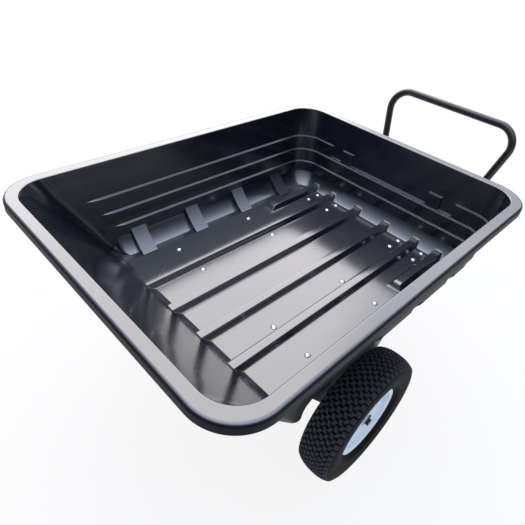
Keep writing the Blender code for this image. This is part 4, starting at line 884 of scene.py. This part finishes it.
def make_tyre(side_name):
    """The tyre's section turned about the axle, with its rows of tread blocks."""
    rows = range(-(LUG_ROWS // 2), LUG_ROWS // 2 + 1)
    lugs = [lug(row, step) for row in rows for step in range(LUGS_ROUND)]
    points, faces = joined(lathe(tyre_section(), 120, False), *lugs)
    tyre = add_piece("turf_tyre_" + side_name, points, faces, materials["tyre"], 40)
    low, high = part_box("tyre_" + side_name)
    tyre.location = (AXLE.x, (low.y + high.y) / 2, AXLE.z)
    return stand_in(tyre, "tyre_" + side_name)


tyres = [make_tyre("left"), make_tyre("right")]
print("tyre:", len(tyres[0].data.polygons), "faces")

# %% [markdown]
# ## Wheels
# The pressed rims are turned as finely as the tyres, with the same flange, well and dish as the
# CAD model, softened by small radii.


# %% Pressed rims
def rim_section():
    outer = [(0.1105, 0.0376), (0.1100, 0.0362), (0.1055, 0.0352), (0.1018, 0.0338), (0.1008, 0.030)]
    outer += [(0.1000, 0.0215), (0.0960, 0.0175), (0.0880, 0.0152), (0.0870, 0.0140)]
    back = [(r, -h) for r, h in reversed(outer)]
    inner = [(0.1075, -0.0380), (0.0990, -0.0362), (0.0982, -0.0220), (0.0940, -0.0178), (0.0846, -0.0150)]
    dish = [(0.0846, 0.0010), (0.0800, 0.0004), (0.0700, 0.0012), (0.0520, 0.0040), (0.0340, 0.0100)]
    dish += [(0.0230, 0.0148), (0.0183, 0.0160), (0.0183, 0.0185), (0.0235, 0.0175), (0.0345, 0.0125)]
    dish += [(0.0520, 0.0066), (0.0700, 0.0038), (0.0800, 0.0030), (0.0846, 0.0036)]
    front = [(0.0846, 0.0150), (0.0940, 0.0178), (0.0982, 0.0220), (0.0990, 0.0362), (0.1075, 0.0380)]
    return outer + back + inner + dish + front


for side_name, sign in (("left", 1), ("right", -1)):
    section = [(r, sign * h) for r, h in rim_section()]
    points, faces = lathe(section, 120, True)
    rim = add_piece("pressed_rim_" + side_name, points, faces, materials["pale_enamel"], 40)
    low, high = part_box("wheel_rim_" + side_name)
    rim.location = (AXLE.x, (low.y + high.y) / 2, AXLE.z)
    stand_in(rim, "wheel_rim_" + side_name)
print("rim section:", len(rim_section()), "points")

# %% [markdown]
# ## Bent tubes
# The handle is a swept round tube. Its path runs through the corners with an arc at each bend, and
# a curve's bevel gives it thickness before it is turned into a mesh.

# %% The handle
UNDERSIDE_Z = FLOOR_Z - WALL
RAIL_Z = UNDERSIDE_Z - 0.0196


def bent_path(corners, radii, steps=16):
    """Points along straight runs, with an arc of a given radius at each inner corner."""
    corners = [Vector(corner) for corner in corners]
    path = [corners[0]]
    for before, corner, after, radius in zip(corners, corners[1:], corners[2:], radii):
        back, ahead = (before - corner).normalized(), (after - corner).normalized()
        half = back.angle(ahead) / 2
        centre = corner + (back + ahead).normalized() * (radius / sin(half))
        reach = radius * cos(half) / sin(half)
        start, end = corner + back * reach - centre, corner + ahead * reach - centre
        sweep = start.angle(end)
        for step in range(steps + 1):
            share = step / steps
            blend = start * sin((1 - share) * sweep) + end * sin(share * sweep)
            path.append(centre + blend / sin(sweep))
    return [*path, corners[-1]]


def bent_tube(name, path, radius, material):
    """A round tube along a path, as a mesh."""
    data = bpy.data.curves.new(name, "CURVE")
    data.dimensions = "3D"
    data.bevel_depth = radius
    data.bevel_resolution = 10
    data.use_fill_caps = True
    spline = data.splines.new("POLY")
    spline.points.add(len(path) - 1)
    for point, place in zip(spline.points, path):
        point.co = (*place, 1)
    guide = bpy.data.objects.new(name + "_guide", data)
    bpy.context.scene.collection.objects.link(guide)
    bpy.context.view_layer.update()
    mesh = bpy.data.meshes.new_from_object(guide.evaluated_get(bpy.context.evaluated_depsgraph_get()))
    bpy.data.objects.remove(guide, do_unlink=True)
    faces = [tuple(face.vertices) for face in mesh.polygons]
    return add_piece(name, [vertex.co for vertex in mesh.vertices], faces, material)


half_handle = [(0.630, 0.174, RAIL_Z), (0.8045, 0.174, RAIL_Z), (0.885, 0.2596, 0.769)]
other_half = [(x, -y, z) for x, y, z in reversed(half_handle)]
handle_corners = [(x + TUB_X, y, z) for x, y, z in half_handle + other_half]
handle_path = bent_path(handle_corners, [0.050, 0.067, 0.067, 0.050])
handle = bent_tube("bent_handle", handle_path, 0.0129, materials["black_steel"])
stand_in(handle, "handle")
print("handle:", len(handle.data.polygons), "faces")

# %% [markdown]
# ## Softened edges
# Sheet and bar parts keep their CAD shape, but real edges are never knife sharp. A copy of each
# mesh has its flat triangles joined and a small bevel run along its edges.


# %% Bevelled copies
def soften(node, width):
    """A copy of a node's mesh with its flat faces joined and its sharp edges bevelled."""
    mesh = frame["nodes"][node].data.copy()
    bm = bmesh.new()
    bm.from_mesh(mesh)
    bmesh.ops.remove_doubles(bm, verts=bm.verts, dist=0.00002)
    bmesh.ops.dissolve_limit(bm, angle_limit=radians(1), verts=bm.verts, edges=bm.edges)
    bm.to_mesh(mesh)
    bm.free()
    piece = bpy.data.objects.new("soft_" + node, mesh)
    bpy.context.scene.collection.objects.link(piece)
    piece.matrix_world = frame["nodes"][node].matrix_world.copy()
    mesh.shade_smooth()
    edge = piece.modifiers.new("edge", "BEVEL")
    edge.width = width
    edge.segments = 2
    edge.limit_method = "ANGLE"
    edge.angle_limit = radians(40)
    edge.harden_normals = True
    return stand_in(piece, node)


SOFT_EDGES = {"drawbar": 0.003, "hitch_clevis": 0.0012, "stand_foot": 0.001, "latch_lever": 0.0008}
for node, width in SOFT_EDGES.items():
    soften(node, width)
print("softened:", ", ".join(SOFT_EDGES))

# %% [markdown]
# ## The stage
# A pale floor keeps the trailer's shadow, and the background is white for the camera. What shines
# sees a sky of its own: white at the horizon, dark just above it and blue-grey overhead, with a
# bright bank beyond the tub's far side, which its floor mirrors, and a softer opening ahead. One
# broad panel and an even, cool surround light what doesn't shine.


# %% Floor, surround and panel
def seen_directly(nodes):
    """1 for rays from the camera, a mirror or glass, and 0 for those that carry light."""
    path = nodes.new("ShaderNodeLightPath")
    names = ("Is Camera Ray", "Is Glossy Ray", "Is Transmission Ray")
    camera_ray, mirror_ray, glass_ray = [Signal(path.outputs[name]) for name in names]
    return camera_ray.most(mirror_ray).most(glass_ray)


def make_floor():
    """Mostly white where it is seen directly, with a share of the trailer's shadow."""
    mesh = bpy.data.meshes.new("floor")
    reach = 40
    corners = [(-reach, -reach, 0), (reach, -reach, 0), (reach, reach, 0), (-reach, reach, 0)]
    mesh.from_pydata(corners, [], [(0, 1, 2, 3)])
    floor = bpy.data.objects.new("floor", mesh)
    bpy.context.scene.collection.objects.link(floor)
    material, shader, place = start_material("studio_floor", Roughness=0.9)
    speck = place.noise(3, 3)
    finish_material(shader, Base_Color=speck.mix((0.88, 0.88, 0.88), (0.92, 0.92, 0.92)))
    nodes, links = material.node_tree.nodes, material.node_tree.links
    x, y = place.parts()[:2]
    distance = (x * x + y * y).root()
    backdrop = nodes.new("ShaderNodeEmission")
    blend = nodes.new("ShaderNodeMixShader")
    feed(blend.inputs[0], seen_directly(nodes) * (0.87 + 0.13 * distance.between(0.7, 2.0)))
    links.new(shader.outputs[0], blend.inputs[1])
    links.new(backdrop.outputs[0], blend.inputs[2])
    links.new(blend.outputs[0], nodes["Material Output"].inputs["Surface"])
    mesh.materials.append(material)
    return floor


def towards(azimuth, elevation):
    """A unit vector from two angles in degrees."""
    around, up = radians(azimuth), radians(elevation)
    return Vector((cos(around) * cos(up), sin(around) * cos(up), sin(up)))


WHITE = (1.0, 1.0, 1.0)
BANK_AZIMUTH = radians(58)


def shining_sky(direction):
    """The sky that gloss sees, with its bank, its opening and a dim patch low at the front."""
    x, y, height = direction.parts()
    low_sky = height.between(0.02, 0.10).mix(WHITE, (0.08, 0.10, 0.15))
    climb = ((height - 0.2) / 0.75).most(0.0).least(1.0)
    sky = (climb * climb).mix(low_sky, (3.0, 3.3, 4.2))
    opening = towards(15, 38)
    settings = {"operation": "DISTANCE"}
    apart = direction.node("ShaderNodeVectorMath", settings, {0: direction, 1: opening}, 1)
    sky = apart.between(0.10, 0.50).mix((3.1, 3.2, 3.5), sky)
    bank_x, bank_y = cos(BANK_AZIMUTH), sin(BANK_AZIMUTH)
    ahead = (x * bank_x + y * bank_y).most(0.001)
    aside = (y * bank_x - x * bank_y) / ahead
    bank = (1.0 - aside.size().between(0.54, 0.80)) * height.between(0.19, 0.24)
    sky = bank.mix(sky, (5.1, 4.95, 5.0))
    low_front = (0.0 - aside).between(0.36, 0.60) * ahead.between(0.30, 0.45)
    low_front = low_front * height.between(0.24, 0.30) * (1.0 - height.between(0.42, 0.52))
    return low_front.mix(sky, (1.9, 1.95, 2.1))


def make_surround():
    """White for the camera, a sky for gloss, and an even, cool light for all other rays."""
    world = bpy.data.worlds.new("surround")
    world.use_nodes = True
    bpy.context.scene.world = world
    nodes = world.node_tree.nodes
    background = nodes["Background"]
    direction = Signal(nodes.new("ShaderNodeTexCoord").outputs["Generated"])
    camera_ray = Signal(nodes.new("ShaderNodeLightPath").outputs["Is Camera Ray"])
    shown = camera_ray.mix(shining_sky(direction), WHITE)
    feed(background.inputs["Color"], seen_directly(nodes).mix((0.62, 0.70, 0.84), shown))
    background.inputs["Strength"].default_value = 1.0


def make_panel(name, azimuth, elevation, distance, size, radiance, colour):
    """A soft panel that faces the tub from a direction given in degrees."""
    data = bpy.data.lights.new(name, "AREA")
    data.shape = "RECTANGLE"
    data.size, data.size_y = size
    data.energy = radiance * pi * size[0] * size[1]
    data.color = colour
    light = bpy.data.objects.new(name, data)
    bpy.context.scene.collection.objects.link(light)
    light.visible_glossy = False
    away = towards(azimuth, elevation)
    light.location = Vector((TUB_X, 0, FLOOR_Z)) + away * distance
    light.rotation_euler = away.to_track_quat("Z", "Y").to_euler()
    return light


make_floor()
make_surround()
make_panel("high_panel", 54, 56, 5.0, (6.2, 4.4), 2.1, (1.0, 0.97, 0.94))
bpy.context.scene.view_settings.view_transform = "Standard"
print("stage: a floor, a surround and one soft panel")

# %% [markdown]
# ## Finish
